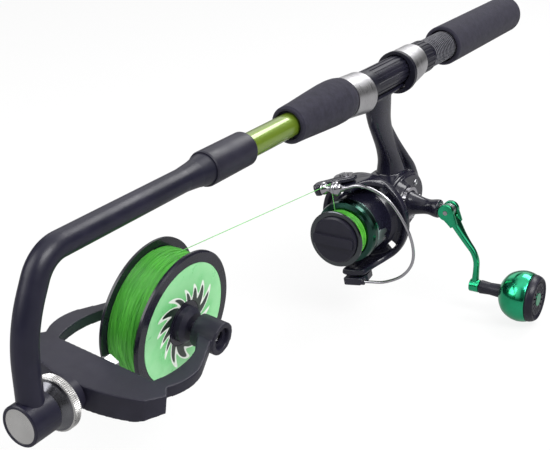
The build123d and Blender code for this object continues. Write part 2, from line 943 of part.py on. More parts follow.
def make_shaft_bearings():
    near = cover_face + cover_boss - 1.5 - glue
    inner = crank_shaft_r + running
    far_ring = tube(-housing_half_width + glue, -housing_half_width + shaft_bearing_length, shaft_bearing_r, inner)
    near_ring = tube(near - shaft_bearing_length, near, shaft_bearing_r, inner)
    return CRANK * Compound(children=[far_ring, near_ring])


def make_pinion_bearing():
    end = housing_front + neck_length
    return REEL * tube(end - bearing_length + glue, end, bearing_r, journal_r + running)


# ---------------------------------------------------------------- gears and crank
def make_drive_gear():
    """Face gear whose straight teeth lie along the pinion where they mesh."""
    tip_y = pinion_r - gear_tip
    base_y = pinion_r + pinion_tip + tooth_clearance
    tip_half = module * 0.32
    base_half = module * 0.78
    disc = tube(base_y, base_y + gear_disc, gear_outer_r(), crank_shaft_r + glue)
    hub = tube(base_y, base_y + gear_disc + 2.5, crank_shaft_r + 3, crank_shaft_r + glue)
    section = Polyline(
        (tip_y, -crank_rise - tip_half), (base_y + 0.2, -crank_rise - base_half),
        (base_y + 0.2, -crank_rise + base_half), (tip_y, -crank_rise + tip_half),
        close=True,
    )
    near_end = gear_teeth * module / 2 - tooth_length / 2
    tooth = Pos(0, -near_end, 0) * extrude(Plane.XZ * make_face(section), tooth_length)
    return CRANK * (disc + hub + ring_of(tooth, gear_teeth))


def make_pinion_gear():
    tip = pinion_r + pinion_tip
    root = pinion_r - pinion_root
    half = tooth_length / 2
    tooth_face = make_face(Polyline(
        (-module * 0.8, root - 0.3), (-module * 0.25, tip),
        (module * 0.25, tip), (module * 0.8, root - 0.3), close=True,
    ))
    tooth = Pos(mesh_x - half, 0, 0) * extrude(Plane.YZ * tooth_face, tooth_length)
    phase = 180 / pinion_teeth
    teeth = [Rot(phase, 0, 0) * Rot(-90, 0, 0) * t for t in ring_of(tooth, pinion_teeth)]
    shoulder = gear_outer_r() + apart - crank_back
    stalk = rod(mesh_x - half, shoulder, root)
    journal = rod(shoulder - 0.01, rotor_rear + rotor_floor + rotor_nut_length, journal_r)
    bore = rod(mesh_x - half - 1, cup_front, shaft_r + running)
    return REEL * (stalk + teeth + journal - bore)


def make_drive_shaft():
    start = -housing_half_width + glue
    shaft = rod(start, shroud_end, crank_shaft_r)
    neck = block(shroud_end - 0.01, hinge_y, -tongue_half_width, tongue_half_width, -3, 3)
    eye = Pos(hinge_y, 0, 0) * Rot(90, 0, 0) * Cylinder(tongue_r, 2 * tongue_half_width)
    pin_hole = Pos(hinge_y, 0, 0) * Rot(90, 0, 0) * Cylinder(fold_pin_r + running, 20)
    return CRANK * (shaft + neck + eye - pin_hole)


def make_crank_shroud():
    waist = shroud_y + shroud_length * 0.65
    body = turned([
        (shroud_y, 0),
        (shroud_y, shroud_base_r),
        (shroud_y + 2.2, shroud_base_r - 0.2),
        (shroud_y + shroud_length * 0.25, (shroud_base_r + shroud_waist_r) / 2),
        (shroud_y + shroud_length * 0.45, shroud_waist_r + 0.5),
        (waist, shroud_waist_r),
        (shroud_end - 3, shroud_end_r),
        (shroud_end, shroud_end_r),
        (shroud_end, 0),
    ])
    return CRANK * (body - rod(shroud_y - 1, shroud_end + 1, crank_shaft_r + glue))


def make_crank_arm():
    """Arm that drops from the hinge, swings outward and ends in a boss for the knob."""
    bend_y = hinge_y + crank_bend_out
    stations = [
        (hinge_y + 2.0, -2.5, 45, 5.0, 3.6),
        (hinge_y + 6.5, -8.0, 42, 4.3, 3.2),
        (hinge_y + 13.0, -15.5, 40, 3.5, 2.7),
        (bend_y, -crank_bend_drop, 55, 3.2, 2.5),
        (knob_y - 0.3, -crank_bend_drop - 9.5, 84, 3.0, 2.5),
        (knob_y, -crank_drop + 9, 90, 2.9, 2.5),
        (knob_y, -crank_drop, 90, 2.9, 2.7),
    ]
    rings = []
    for y, z, down, half_width, half_depth in stations:
        angle = math.radians(down)
        heading = (math.cos(angle), 0, -math.sin(angle))
        section = Plane((y, 0, z), x_dir=(0, 1, 0), z_dir=heading)
        rings.append(section * Ellipse(half_width, half_depth))
    arm = loft(rings)
    across = Rot(90, 0, 0)
    head = Pos(hinge_y, 0, 0) * across * Cylinder(hinge_r, 2 * hinge_half_width)
    gap = tongue_half_width + apart
    swing = tongue_r + apart
    slot = Pos(hinge_y, 0, 0) * across * Cylinder(swing, 2 * gap)
    slot += block(hinge_y - 12, hinge_y, -gap, gap, -swing, 12)
    slot += block(hinge_y - 12, hinge_y + swing, -gap, gap, 0, 12)
    clear_end = block(hinge_y - 12, shroud_end + apart, -12, 12, -12, 12)
    boss = rod(knob_y - crank_boss_half, knob_y + crank_boss_half, crank_boss_r)
    boss = Pos(0, 0, -crank_drop) * boss
    post_hole = Pos(0, 0, -crank_drop) * rod(knob_y - 9, knob_y + 9, post_r + glue)
    pin_hole = Pos(hinge_y, 0, 0) * across * Cylinder(fold_pin_r + glue, 20)
    return CRANK * (arm + head + boss - slot - clear_end - post_hole - pin_hole)


def make_fold_pin():
    return CRANK * Pos(hinge_y, 0, 0) * Rot(90, 0, 0) * Cylinder(fold_pin_r, 2 * hinge_half_width)


def knob_base():
    return knob_y + crank_boss_half + apart


def make_knob_post():
    end = knob_base() + sleeve_knob_length + ball_length
    post = rod(knob_y - crank_boss_half, end, post_r) + rod(end, end + post_head, post_head_r)
    return CRANK * Pos(0, 0, -crank_drop) * post


def make_knob_sleeve():
    start = knob_base()
    end = start + sleeve_knob_length
    body = turned([
        (start, post_r + running),
        (start, knob_sleeve_r - 0.4),
        (start + 0.8, knob_sleeve_r),
        ((start + end) / 2, knob_sleeve_r - 0.5),
        (end, knob_sleeve_r),
        (end, post_r + running),
    ])
    return CRANK * Pos(0, 0, -crank_drop) * body


def make_knob_ball():
    start = knob_base() + sleeve_knob_length
    shape = [(0.0, 0.28), (0.09, 0.52), (0.26, 0.78), (0.5, 0.94), (0.75, 1.0), (1.0, 0.98)]
    profile = [(start, post_r + running)]
    profile += [(start + ball_length * a, ball_r * b) for a, b in shape]
    profile.append((start + ball_length, post_r + running))
    return CRANK * Pos(0, 0, -crank_drop) * turned(profile)


def knob_rim_start():
    return knob_base() + sleeve_knob_length + ball_length


def make_knob_rim():
    start = knob_rim_start()
    end = start + rim_length
    body = turned([
        (start, knob_face_r),
        (start, ball_r * 0.98),
        (start + rim_length * 0.35, ball_r * 0.96),
        (start + rim_length * 0.75, (ball_r + rim_front_r) / 2),
        (end, rim_front_r),
        (end, knob_face_r),
    ])
    return CRANK * Pos(0, 0, -crank_drop) * body


def make_knob_disc():
    start = knob_rim_start()
    floor = start + post_head + apart
    end = start + rim_length - 0.6
    disc = tube(floor, end, knob_face_r - glue, knob_cap_r + glue)
    skirt = tube(start, floor + 0.1, knob_face_r - glue, knob_face_r - 2)
    slot = block(end - 1.2, end + 1, -0.55, 0.55, knob_cap_r + 1.4, knob_face_r - 1.0)
    return CRANK * Pos(0, 0, -crank_drop) * (disc + skirt - ring_of(slot, knob_slots))


def make_knob_cap():
    start = knob_rim_start() + post_head + apart
    end = knob_rim_start() + rim_length - 0.3
    return CRANK * Pos(0, 0, -crank_drop) * rod(start, end, knob_cap_r)


# ---------------------------------------------------------------- rotor
def rotor_arm():
    """One arm of the rotor, swept about the axis on the +Z side."""
    front = rotor_rear + rotor_arm_length
    inner = rotor_arm_r - rotor_arm_thickness
    profile = [
        (rotor_rear, rotor_base_r - 3),
        (rotor_rear + 0.6, rotor_arm_r - 5),
        (rotor_rear + 3.5, rotor_arm_r - 1.6),
        (rotor_rear + 10, rotor_arm_r - 0.3),
        (front - 12, rotor_arm_r),
        (front - 1, rotor_arm_r - 0.3),
        (front, rotor_arm_r - 1.5),
        (front, inner + 0.5),
        (rotor_rear + 11, inner),
        (rotor_rear + 7.5, inner - 1.2),
        (rotor_rear + rotor_floor, rotor_base_r - 1.5),
    ]
    face = make_face(Polyline(*profile, close=True))
    arm = revolve(face, Axis.X, revolution_arc=rotor_arm_angle)
    arm = Rot(90 - rotor_arm_angle / 2, 0, 0) * arm
    start = rotor_rear + 9.5
    half = rotor_window_width / 2
    window = block(start, start + rotor_window_length, -half, half, 0, rotor_arm_r + 5)
    pin = Pos(pivot_x, 0, rotor_arm_r) * Cylinder(bail_pin_r + glue, 30)
    return arm - window - pin


def make_rotor():
    base = turned([
        (rotor_rear, journal_r + glue),
        (rotor_rear, rotor_base_r - 2),
        (rotor_rear + 1.5, rotor_base_r),
        (rotor_rear + rotor_floor, rotor_base_r),
        (rotor_rear + rotor_floor + 1.5, cup_r),
        (cup_front, cup_r),
        (cup_front, cup_r - cup_wall),
        (rotor_rear + rotor_floor, cup_r - cup_wall),
        (rotor_rear + rotor_floor, journal_r + glue),
    ])
    rotor = base + rotor_arm() + Rot(180, 0, 0) * rotor_arm()
    return ROTOR * (rotor - rotor_plate(0) - Rot(180, 0, 0) * rotor_plate(0))


def rotor_plate(gap):
    """Curved insert plate on one open side of the rotor cup, smaller all round by a gap."""
    start = rotor_rear + rotor_floor + 4 + gap
    end = rotor_rear + rotor_floor + 4 + plate_length - gap
    half = plate_half_width - gap
    shell = tube(start, end, cup_r + 0.2 - 2 * gap, cup_r - plate_depth + gap)
    return shell & block(start, end, 0, cup_r + 1, -half, half)


def make_rotor_plates():
    return ROTOR * Compound(children=[rotor_plate(glue), Rot(180, 0, 0) * rotor_plate(glue)])


def make_rotor_nut():
    start = rotor_rear + rotor_floor
    body = Pos(start, 0, 0) * Rot(0, 90, 0) * extrude(RegularPolygon(rotor_nut_r, 6), rotor_nut_length)
    return ROTOR * (body - rod(start - 1, start + rotor_nut_length + 1, journal_r + glue))


# ---------------------------------------------------------------- bail
def make_bail_arm():
    """Curved carrier from the upper pivot forward to the roller's screw."""
    low = rotor_arm_r + apart
    high = low + bail_plate
    hand = roller_half_length + apart
    outline = [
        (pivot_x - 8, -7), (pivot_x - 8, 6), (pivot_x, 8.5), (pivot_x + 8, 5.5),
        (roller_x - 6.5, -3), (roller_x - 5, -hand), (roller_x + 3.5, -hand),
        (roller_x + 3.5, -hand - 4.5), (roller_x - 8, -hand - 6.5), (pivot_x, -9),
    ]
    carrier = plate(outline, low, high)
    carrier = fillet(carrier.edges().group_by(Axis.Z)[-1], 1.0)
    tip_low = roller_rise - roller_r
    tip = block(roller_x - 3.5, roller_x + 3.5, -hand - 4.5, -hand, tip_low, high - 1.2)
    pin = Pos(pivot_x, 0, low) * Cylinder(bail_pin_r + glue, 30)
    screw = Pos(roller_x, 0, roller_rise) * Rot(0, 0, 90) * rod(-20, 0, roller_screw_r + glue)
    return ROTOR * (carrier + tip - pin - screw)


def make_bail_lever():
    """Carrier on the lower pivot, with the socket for the end of the bail wire."""
    low = rotor_arm_r + apart
    outline = [
        (pivot_x - 7, -5.5), (pivot_x - 7, 5.5), (pivot_x + 2, 7),
        (lever_x + 3.5, 5), (lever_x + 3.5, -6.5), (pivot_x + 1, -7.5),
    ]
    carrier = plate(outline, -low - bail_plate - 1, -low)
    carrier = fillet(carrier.edges().group_by(Axis.Z)[0], 1.0)
    socket = Pos(lever_x, 0, -lever_rise) * Rot(0, 0, 90) * rod(0, 6.5, 2.3)
    hole = Pos(lever_x, 0, -lever_rise) * Rot(0, 0, 90) * rod(4.5, 7.5, bail_wire_r + glue)
    pin = Pos(pivot_x, 0, -low) * Cylinder(bail_pin_r + glue, 30)
    return ROTOR * (carrier + socket - hole - pin)


def make_pivot_screws():
    screws = []
    for side, top in ((1, bail_plate), (-1, bail_plate + 1)):
        face = rotor_arm_r + apart + top
        start = rotor_arm_r - rotor_arm_thickness + 1
        shank = Pos(pivot_x, 0, (start + face + 0.5) / 2) * Cylinder(bail_pin_r, face + 0.5 - start)
        head = Pos(pivot_x, 0, face + glue + 0.5) * Cylinder(3.0, 1.0)
        slot = Pos(pivot_x, 0, face + glue + 1) * Box(7, 0.8, 0.8)
        screws.append(Rot(90 - 90 * side, 0, 0) * (shank + head - slot))
    return ROTOR * Compound(children=screws)


def make_roller_screw():
    start = -roller_half_length - apart - 4.0
    return ROLLER * rod(start, roller_half_length + 2.4, roller_screw_r)


def make_line_roller():
    half = roller_half_length
    body = turned([
        (-half, roller_screw_r + running),
        (-half, roller_r - 0.4),
        (-half + 0.6, roller_r),
        (-1.6, roller_r - 0.2),
        (-0.6, roller_groove_r),
        (0.6, roller_groove_r),
        (1.6, roller_r - 0.2),
        (half - 0.6, roller_r),
        (half, roller_r - 0.4),
        (half, roller_screw_r + running),
    ])
    return ROLLER * body


def make_bail_cone():
    start = roller_half_length + apart
    body = turned([
        (start, 0),
        (start, roller_r),
        (start + 0.8, roller_r + 0.2),
        (start + 1.8, roller_r - 0.6),
        (cone_tip_y, bail_wire_r + 0.4),
        (cone_tip_y, 0),
    ])
    return ROLLER * (body - rod(0, roller_half_length + 2.5, roller_screw_r + glue))


def make_bail_wire():
    points = [
        (roller_x, cone_tip_y, roller_rise),
        (roller_x, cone_tip_y + 2.5, roller_rise),
        (roller_x - 0.4, cone_tip_y + 10, roller_rise + 4.4),
        (roller_x - 1.6, cone_tip_y + 26, roller_rise - 2.0),
        (roller_x - 3.6, cone_tip_y + 38, roller_rise - 15.0),
        (roller_x - 8.0, cone_tip_y + 40, -11.0),
        (lever_x + 2.4, 37.5, -25.5),
        (lever_x + 0.6, 21.0, -lever_rise - 0.3),
        (lever_x, 10.0, -lever_rise),
        (lever_x, 4.6, -lever_rise),
    ]
    path = FilletPolyline(*points, radius=corner_radii(points))
    return ROTOR * round_wire(path, bail_wire_r)


# ---------------------------------------------------------------- reel spool
def make_main_shaft():
    return REEL * rod(slider_rear + 1, lip_front - 2, shaft_r)


def make_oscillation_slider():
    front = slider_rear + slider_length
    half = slider_half_width
    body = block(slider_rear, front, -half, half, -slider_half_height, slider_half_height)
    return REEL * (body - rod(slider_rear - 1, front + 1, shaft_r + glue))


def make_reel_spool():
    bore = shaft_r + running
    skirt_inner = cup_r + skirt_gap
    skirt_rear = cup_front - skirt_lap
    recess = pack_front + 1.0
    pocket = recess - drag_boss - drag_washer_stack + 0.4
    body = turned([
        (web_rear - 4, bore),
        (web_rear - 4, 5),
        (web_rear, 5),
        (web_rear, skirt_inner),
        (skirt_rear, skirt_inner),
        (skirt_rear, skirt_r - 0.3),
        (skirt_rear + 0.4, skirt_r),
        (skirt_rear + 5.0, skirt_r),
        (web_rear, skirt_r - 0.6),
        (pack_rear, reel_pack_r + 1.6),
        (pack_rear, arbor_r),
        (pack_front, arbor_r),
        (pack_front, lip_r - 0.9),
        (pack_front + 0.9, lip_r),
        (lip_front - 0.4, lip_r),
        (lip_front, lip_r - 0.5),
        (lip_front, drag_knob_r + apart),
        (recess, drag_knob_r + apart),
        (recess, drag_boss_r + apart),
        (pocket, drag_boss_r + apart),
        (pocket, bore),
    ])
    return REEL * body


def make_reel_line_core():
    return REEL * tube(pack_rear + glue, pack_front - glue, reel_pack_r, arbor_r + glue)


def make_reel_line_winding():
    r = reel_pack_r + line_wire / 2 + 0.02
    rise = line_pitch * reel_loops
    start = (pack_rear + pack_front - rise) / 2
    stations = helix_stations(r, start, rise, 0, 1, reel_loops)
    print("reel winding least gap", round(least_turn_gap(stations, line_wire), 3))
    return REEL * round_wire(wound_path(stations, line_wire), line_wire / 2)


def make_drag_washers():
    start = pack_front + 1.0 - drag_boss - drag_washer_stack + 0.4 + glue
    end = start + drag_washer_stack - 0.5
    return REEL * tube(start, end, drag_boss_r - 0.4, shaft_r + glue)


def make_drag_knob():
    seat = pack_front + 1.0 + apart
    face = seat + drag_knob_face
    body = turned([
        (seat - drag_boss, 0),
        (seat - drag_boss, drag_boss_r),
        (seat, drag_boss_r),
        (seat, drag_knob_r),
        (face - 0.8, drag_knob_r),
        (face, drag_knob_r - 1.0),
        (face, 0),
    ])
    half = finger_bar_width / 2
    bar = block(face - 1, face + finger_bar, -drag_knob_r, drag_knob_r, -half, half)
    bar = bar & rod(face - 1, face + finger_bar, drag_knob_r - 1.2)
    return REEL * (body + bar - rod(seat - 9, lip_front - 1.8, shaft_r + running))


# ---------------------------------------------------------------- running line
def make_free_line():
    corner = roller_corner()
    angle, end = line_leave()
    r = line_wind_r()
    leave = (SPOOL * Pos(end, r * math.cos(angle), r * math.sin(angle))).position
    toward = (corner - leave).normalized()
    start = leave + toward * (line_wire + cord_end_gap)
    axis_place = (ROTOR * Pos(0, 0, 0)).position
    down = Vector(0, axis_place.Y - corner.Y, axis_place.Z - corner.Z)
    landing = reel_pack_r + line_wire + cord_end_gap
    finish = corner + down.normalized() * (down.length - landing)
    bend = roller_groove_r + cord_r + glue
    path = FilletPolyline(start, corner, finish, radius=[bend])
    print("running line length", round(path.length, 2), "bend radius", round(bend, 2))
    print("running line points", [tuple(round(v, 3) for v in p) for p in (start, corner, finish)])
    line = round_wire(path, cord_r)
    print("running line volume ratio", round(line.volume / (path.length * math.pi * cord_r**2), 4))
    return line


PARTS = {
    "rear_grip": make_rear_grip,
    "rod_blank": make_rod_blank,
    "reel_seat": make_reel_seat,
    "fixed_hood": make_fixed_hood,
    "sliding_hood": make_sliding_hood,
    "hood_ring": make_hood_ring,
    "lock_nut": make_lock_nut,
    "fore_grip": make_fore_grip,
    "socket_sleeve": make_socket_sleeve,
    "winder_arm": make_winder_arm,
    "head_disc": make_head_disc,
    "swivel_stud": make_swivel_stud,
    "friction_washer": make_friction_washer,
    "tension_nut": make_tension_nut,
    "stud_end_nut": make_stud_end_nut,
    "spool_fork": make_spool_fork,
    "fixed_cone": make_fixed_cone,
    "plunger_cone": make_plunger_cone,
    "spring_retainer": make_spring_retainer,
    "cone_spring": make_cone_spring,
    "line_spool": make_line_spool,
    "spool_labels": make_spool_labels,
    "line_core": make_line_core,
    "line_winding": make_line_winding,
    "reel_body": make_reel_body,
    "side_cover": make_side_cover,
    "cover_screws": make_cover_screws,
    "cover_ring": make_cover_ring,
    "shaft_bearings": make_shaft_bearings,
    "pinion_bearing": make_pinion_bearing,
    "drive_gear": make_drive_gear,
    "pinion_gear": make_pinion_gear,
    "drive_shaft": make_drive_shaft,
    "crank_shroud": make_crank_shroud,
    "crank_arm": make_crank_arm,
    "fold_pin": make_fold_pin,
    "knob_post": make_knob_post,
    "knob_sleeve": make_knob_sleeve,
    "knob_ball": make_knob_ball,
    "knob_rim": make_knob_rim,
    "knob_disc": make_knob_disc,
    "knob_cap": make_knob_cap,
    "rotor": make_rotor,
    "rotor_plates": make_rotor_plates,
    "rotor_nut": make_rotor_nut,
    "bail_arm": make_bail_arm,
    "bail_lever": make_bail_lever,
    "pivot_screws": make_pivot_screws,
    "roller_screw": make_roller_screw,
    "line_roller": make_line_roller,
    "bail_cone": make_bail_cone,
    "bail_wire": make_bail_wire,
    "main_shaft": make_main_shaft,
    "oscillation_slider": make_oscillation_slider,
    "reel_spool": make_reel_spool,
    "reel_line_core": make_reel_line_core,
    "reel_line_winding": make_reel_line_winding,
    "drag_washers": make_drag_washers,
    "drag_knob": make_drag_knob,
    "free_line": make_free_line,
}

for name, make in PARTS.items():
    export_step(make(), f"parts/{name}.step")
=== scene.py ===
"""Looks of the fishing line winder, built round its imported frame. Metres throughout."""

import json
import math

import bmesh
import bpy
import numpy as np
from mathutils import Matrix, Vector

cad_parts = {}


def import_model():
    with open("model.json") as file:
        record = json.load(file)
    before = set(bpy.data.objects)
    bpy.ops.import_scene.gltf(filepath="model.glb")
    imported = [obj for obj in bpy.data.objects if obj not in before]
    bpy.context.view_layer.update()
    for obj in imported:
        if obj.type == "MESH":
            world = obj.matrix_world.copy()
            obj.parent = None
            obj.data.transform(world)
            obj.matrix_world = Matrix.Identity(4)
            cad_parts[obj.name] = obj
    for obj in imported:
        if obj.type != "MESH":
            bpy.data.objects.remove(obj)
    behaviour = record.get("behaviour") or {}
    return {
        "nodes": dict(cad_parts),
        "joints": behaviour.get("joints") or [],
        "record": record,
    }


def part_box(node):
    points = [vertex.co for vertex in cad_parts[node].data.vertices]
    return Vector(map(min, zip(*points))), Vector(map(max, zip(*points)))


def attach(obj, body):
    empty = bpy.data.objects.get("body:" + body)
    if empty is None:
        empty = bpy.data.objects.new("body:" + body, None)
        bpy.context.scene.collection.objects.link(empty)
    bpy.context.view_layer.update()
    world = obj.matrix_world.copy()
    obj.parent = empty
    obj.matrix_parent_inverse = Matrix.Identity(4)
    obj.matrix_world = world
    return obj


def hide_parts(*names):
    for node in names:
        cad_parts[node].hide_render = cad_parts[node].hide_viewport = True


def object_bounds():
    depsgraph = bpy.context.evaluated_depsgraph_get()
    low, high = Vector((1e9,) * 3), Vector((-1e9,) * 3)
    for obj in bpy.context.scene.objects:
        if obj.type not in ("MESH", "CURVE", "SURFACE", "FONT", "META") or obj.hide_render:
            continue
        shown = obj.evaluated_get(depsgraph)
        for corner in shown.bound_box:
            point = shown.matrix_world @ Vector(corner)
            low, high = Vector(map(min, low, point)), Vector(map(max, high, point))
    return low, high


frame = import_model()
nodes = frame["nodes"]
cad_low, cad_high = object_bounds()

MM = 0.001

# ---------------------------------------------------------------- places from the frame
joints = {joint["name"]: joint for joint in frame["joints"]}


def joint_point(name):
    return Vector(joints[name]["pos_m"])


def joint_axis(name):
    return Vector(joints[name]["axis"]).normalized()


head_centre = joint_point("fork_swivel")
supply_centre = joint_point("line_spool_spin")
supply_axis = joint_axis("line_spool_spin")
rotor_centre = joint_point("rotor_spin")
crank_centre = joint_point("crank_turn")
knob_centre = joint_point("knob_spin")
roller_centre = joint_point("line_roller_spin")
roller_axis = joint_axis("line_roller_spin")


# ---------------------------------------------------------------- node helpers
class Nodes:
    """A node tree under construction."""

    def __init__(self, tree):
        self.tree = tree

    def node(self, kind, inputs=None, **settings):
        made = self.tree.nodes.new("ShaderNode" + kind)
        for key, value in settings.items():
            setattr(made, key, value)
        for key, value in (inputs or {}).items():
            self.feed(made.inputs[key], value)
        return made

    def feed(self, socket, value):
        if isinstance(value, bpy.types.NodeSocket):
            self.tree.links.new(value, socket)
        else:
            socket.default_value = value

    def math(self, operation, *values):
        return self.node("Math", dict(enumerate(values)), operation=operation).outputs[0]

    def span(self, value, low, high, to_low=0.0, to_high=1.0, **settings):
        """A value mapped from one range to another."""
        inputs = {0: value, 1: low, 2: high, 3: to_low, 4: to_high}
        return self.node("MapRange", inputs, **settings).outputs[0]


class Shader(Nodes):
    """A material under construction: its node tree and its main shader."""

    def __init__(self, name):
        self.material = bpy.data.materials.new(name)
        self.material.use_nodes = True
        super().__init__(self.material.node_tree)
        self.main = self.tree.nodes["Principled BSDF"]
        self.place = self.node("TexCoord").outputs["Object"]

    def set(self, **values):
        for key, value in values.items():
            self.feed(self.main.inputs[key.replace("_", " ")], value)

    def noise(self, scale, detail=2.0, place=None, roughness=0.5):
        inputs = {"Vector": place or self.place, "Scale": scale, "Detail": detail, "Roughness": roughness}
        return self.node("TexNoise", inputs).outputs["Fac"]

    def stretched(self, scale, turn=(0, 0, 0)):
        """Coordinates turned and scaled by axis."""
        return self.node("Mapping", {"Vector": self.place, "Rotation": turn, "Scale": scale}).outputs[0]

    def mix(self, factor, a, b):
        mixed = self.node("Mix", data_type="RGBA")
        self.feed(mixed.inputs[0], factor)
        self.feed(mixed.inputs[6], a if isinstance(a, bpy.types.NodeSocket) else (*a, 1.0))
        self.feed(mixed.inputs[7], b if isinstance(b, bpy.types.NodeSocket) else (*b, 1.0))
        return mixed.outputs[2]

    def bump(self, height, distance, strength=1.0):
        made = self.node("Bump", {"Height": height, "Distance": distance, "Strength": strength})
        self.feed(self.main.inputs["Normal"], made.outputs[0])
        return self


def worn_plastic(name, dark, light, roughness, coat=0.0):
    """Moulded plastic: slight tone change, fine grain and uneven gloss."""
    shader = Shader(name)
    tone = shader.span(shader.noise(55.0, 4.0), 0.3, 0.7)
    grain = shader.noise(2600.0, 3.0)
    gloss = shader.span(shader.noise(140.0, 3.0), 0.3, 0.7, roughness - 0.05, roughness + 0.07)
    shader.set(Base_Color=shader.mix(tone, dark, light), Roughness=gloss)
    shader.set(Specular_IOR_Level=0.4, Coat_Weight=coat, Coat_Roughness=0.12)
    return shader.bump(grain, 0.00003, 0.35).material


def metal(name, dark, light, roughness, brush=(1.0, 1.0, 1.0), brush_depth=0.00001, coat=0.0):
    """Metal with brushing stretched along the axes whose scale is small."""
    shader = Shader(name)
    lines = shader.noise(1800.0, 3.0, shader.stretched(brush))
    tone = shader.span(shader.noise(90.0, 3.0), 0.3, 0.7)
    gloss = shader.span(lines, 0.3, 0.7, roughness * 0.75, roughness * 1.3)
    shader.set(Base_Color=shader.mix(tone, dark, light), Roughness=gloss, Metallic=1.0)
    shader.set(Coat_Weight=coat, Coat_Roughness=0.05)
    return shader.bump(lines, brush_depth, 0.3).material


def foam(name):
    """Closed-cell foam: charcoal, matt, with fine cells and a faint mottling."""
    shader = Shader(name)
    cells = shader.node("TexVoronoi", {"Vector": shader.place, "Scale": 1500.0}).outputs["Distance"]
    fine = shader.noise(3200.0, 2.0)
    mottle = shader.span(shader.noise(240.0, 5.0, roughness=0.7), 0.35, 0.65)
    height = shader.math("ADD", cells, fine)
    colour = shader.mix(mottle, (0.016, 0.015, 0.026), (0.027, 0.025, 0.042))
    shader.set(Base_Color=colour, Roughness=0.78, Specular_IOR_Level=0.25)
    shader.set(Sheen_Weight=0.05, Sheen_Roughness=0.5)
    return shader.bump(height, 0.00012, 0.5).material


def lacquer(name):
    """Olive-green metallic lacquer under a clear coat."""
    shader = Shader(name)
    flakes = shader.noise(5200.0, 1.0)
    tone = shader.span(shader.noise(30.0, 3.0, shader.stretched((0.15, 1, 1))), 0.3, 0.7)
    colour = shader.mix(tone, (0.135, 0.215, 0.015), (0.175, 0.270, 0.020))
    shader.set(Base_Color=colour, Roughness=shader.span(flakes, 0.3, 0.7, 0.26, 0.40))
    shader.set(Metallic=0.35, Coat_Weight=1.0, Coat_Roughness=0.06)
    return shader.bump(flakes, 0.000008, 0.2).material


def line_colour(name, dark, light, grain=(1.0, 1.0, 1.0), turn=(0, 0, 0)):
    """Fishing line: bright green, slightly glossy, with uneven tone strand by strand."""
    shader = Shader(name)
    strands = shader.span(shader.noise(900.0, 3.0, shader.stretched(grain, turn=turn)), 0.3, 0.7)
    broad = shader.span(shader.noise(60.0, 2.0), 0.35, 0.65, 0.0, 0.6)
    mixed = shader.math("MULTIPLY", strands, shader.math("SUBTRACT", 1.0, broad))
    shader.set(Base_Color=shader.mix(mixed, dark, light), Roughness=0.35)
    shader.set(Specular_IOR_Level=0.5, Sheen_Weight=0.1)
    return shader.bump(shader.noise(4000.0, 2.0), 0.00002, 0.4).material


def label_print(name):
    """Printed spool label: pale green ground, and a dark ring of bent rays with a white edge."""
    ray_count, lobe_count, ray_bend = 14.0, 3.0, 0.9
    ring_low, ring_high, ray_reach = 0.0175, 0.0225, 0.0035
    white_width, print_blur = 0.0026, 0.0003
    shader = Shader(name)
    away = shader.node("VectorMath", {0: shader.place, 1: tuple(supply_centre)}, operation="SUBTRACT")
    split = shader.node("SeparateXYZ", {0: away.outputs[0]})
    reach = shader.node("VectorMath", {0: away.outputs[0]}, operation="LENGTH").outputs["Value"]
    angle = shader.math("ARCTAN2", split.outputs["Z"], split.outputs["X"])
    wobble = shader.noise(120.0, 3.0)
    bent = shader.math("ADD", angle, shader.span(reach, 0.012, 0.032, 0.0, ray_bend))
    rays = shader.math("SINE", shader.math("MULTIPLY", bent, ray_count))
    lobes = shader.math("SINE", shader.math("MULTIPLY", angle, lobe_count))
    ring_edge = shader.span(lobes, -1.0, 1.0, ring_low, ring_high)
    edge = shader.math("ADD", ring_edge, shader.span(rays, -1.0, 1.0, -ray_reach, ray_reach))
    inside = shader.span(shader.math("SUBTRACT", edge, reach), -print_blur, print_blur)
    inner_edge = shader.math("SUBTRACT", edge, white_width)
    core = shader.span(shader.math("SUBTRACT", inner_edge, reach), -print_blur, print_blur)
    ground = shader.mix(shader.span(reach, 0.014, 0.031), (0.10, 0.52, 0.14), (0.26, 0.68, 0.30))
    ground = shader.mix(shader.span(wobble, 0.4, 0.6, 0.0, 0.15), ground, (0.55, 0.85, 0.55))
    white = shader.mix(inside, ground, (0.80, 0.86, 0.78))
    printed = shader.mix(core, white, (0.015, 0.03, 0.02))
    shader.set(Base_Color=printed, Roughness=shader.span(wobble, 0.3, 0.7, 0.25, 0.38))
    shader.set(Coat_Weight=0.4, Coat_Roughness=0.15)
    return shader.bump(shader.noise(700.0, 2.0), 0.00002, 0.2).material


def spool_finish(name):
    """Anodised reel spool: dark green skirt with a polished edge, and a dark polished lip."""
    shader = Shader(name)
    split = shader.node("SeparateXYZ", {0: shader.place})
    x = split.outputs["X"]
    pack_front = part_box("reel_line_core")[1][0]
    skirt_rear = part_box("reel_spool")[0][0]
    edge_width = 0.0012
    lip = shader.span(x, pack_front - 0.0001, pack_front + 0.0002)
    polished = shader.span(x, skirt_rear + edge_width + 0.0004, skirt_rear + edge_width)
    lines = shader.noise(1500.0, 3.0, shader.stretched((1.0, 0.05, 0.05)))
    tone = shader.mix(shader.span(lines, 0.3, 0.7), (0.012, 0.060, 0.042), (0.030, 0.105, 0.078))
    skirt = shader.mix(polished, tone, (0.42, 0.66, 0.60))
    colour = shader.mix(lip, skirt, (0.10, 0.11, 0.12))
    gloss = shader.span(lines, 0.3, 0.7, 0.16, 0.24)
    shader.set(Base_Color=colour, Metallic=1.0, Roughness=gloss, Coat_Weight=0.4, Coat_Roughness=0.05)
    return shader.bump(lines, 0.00001, 0.2).material


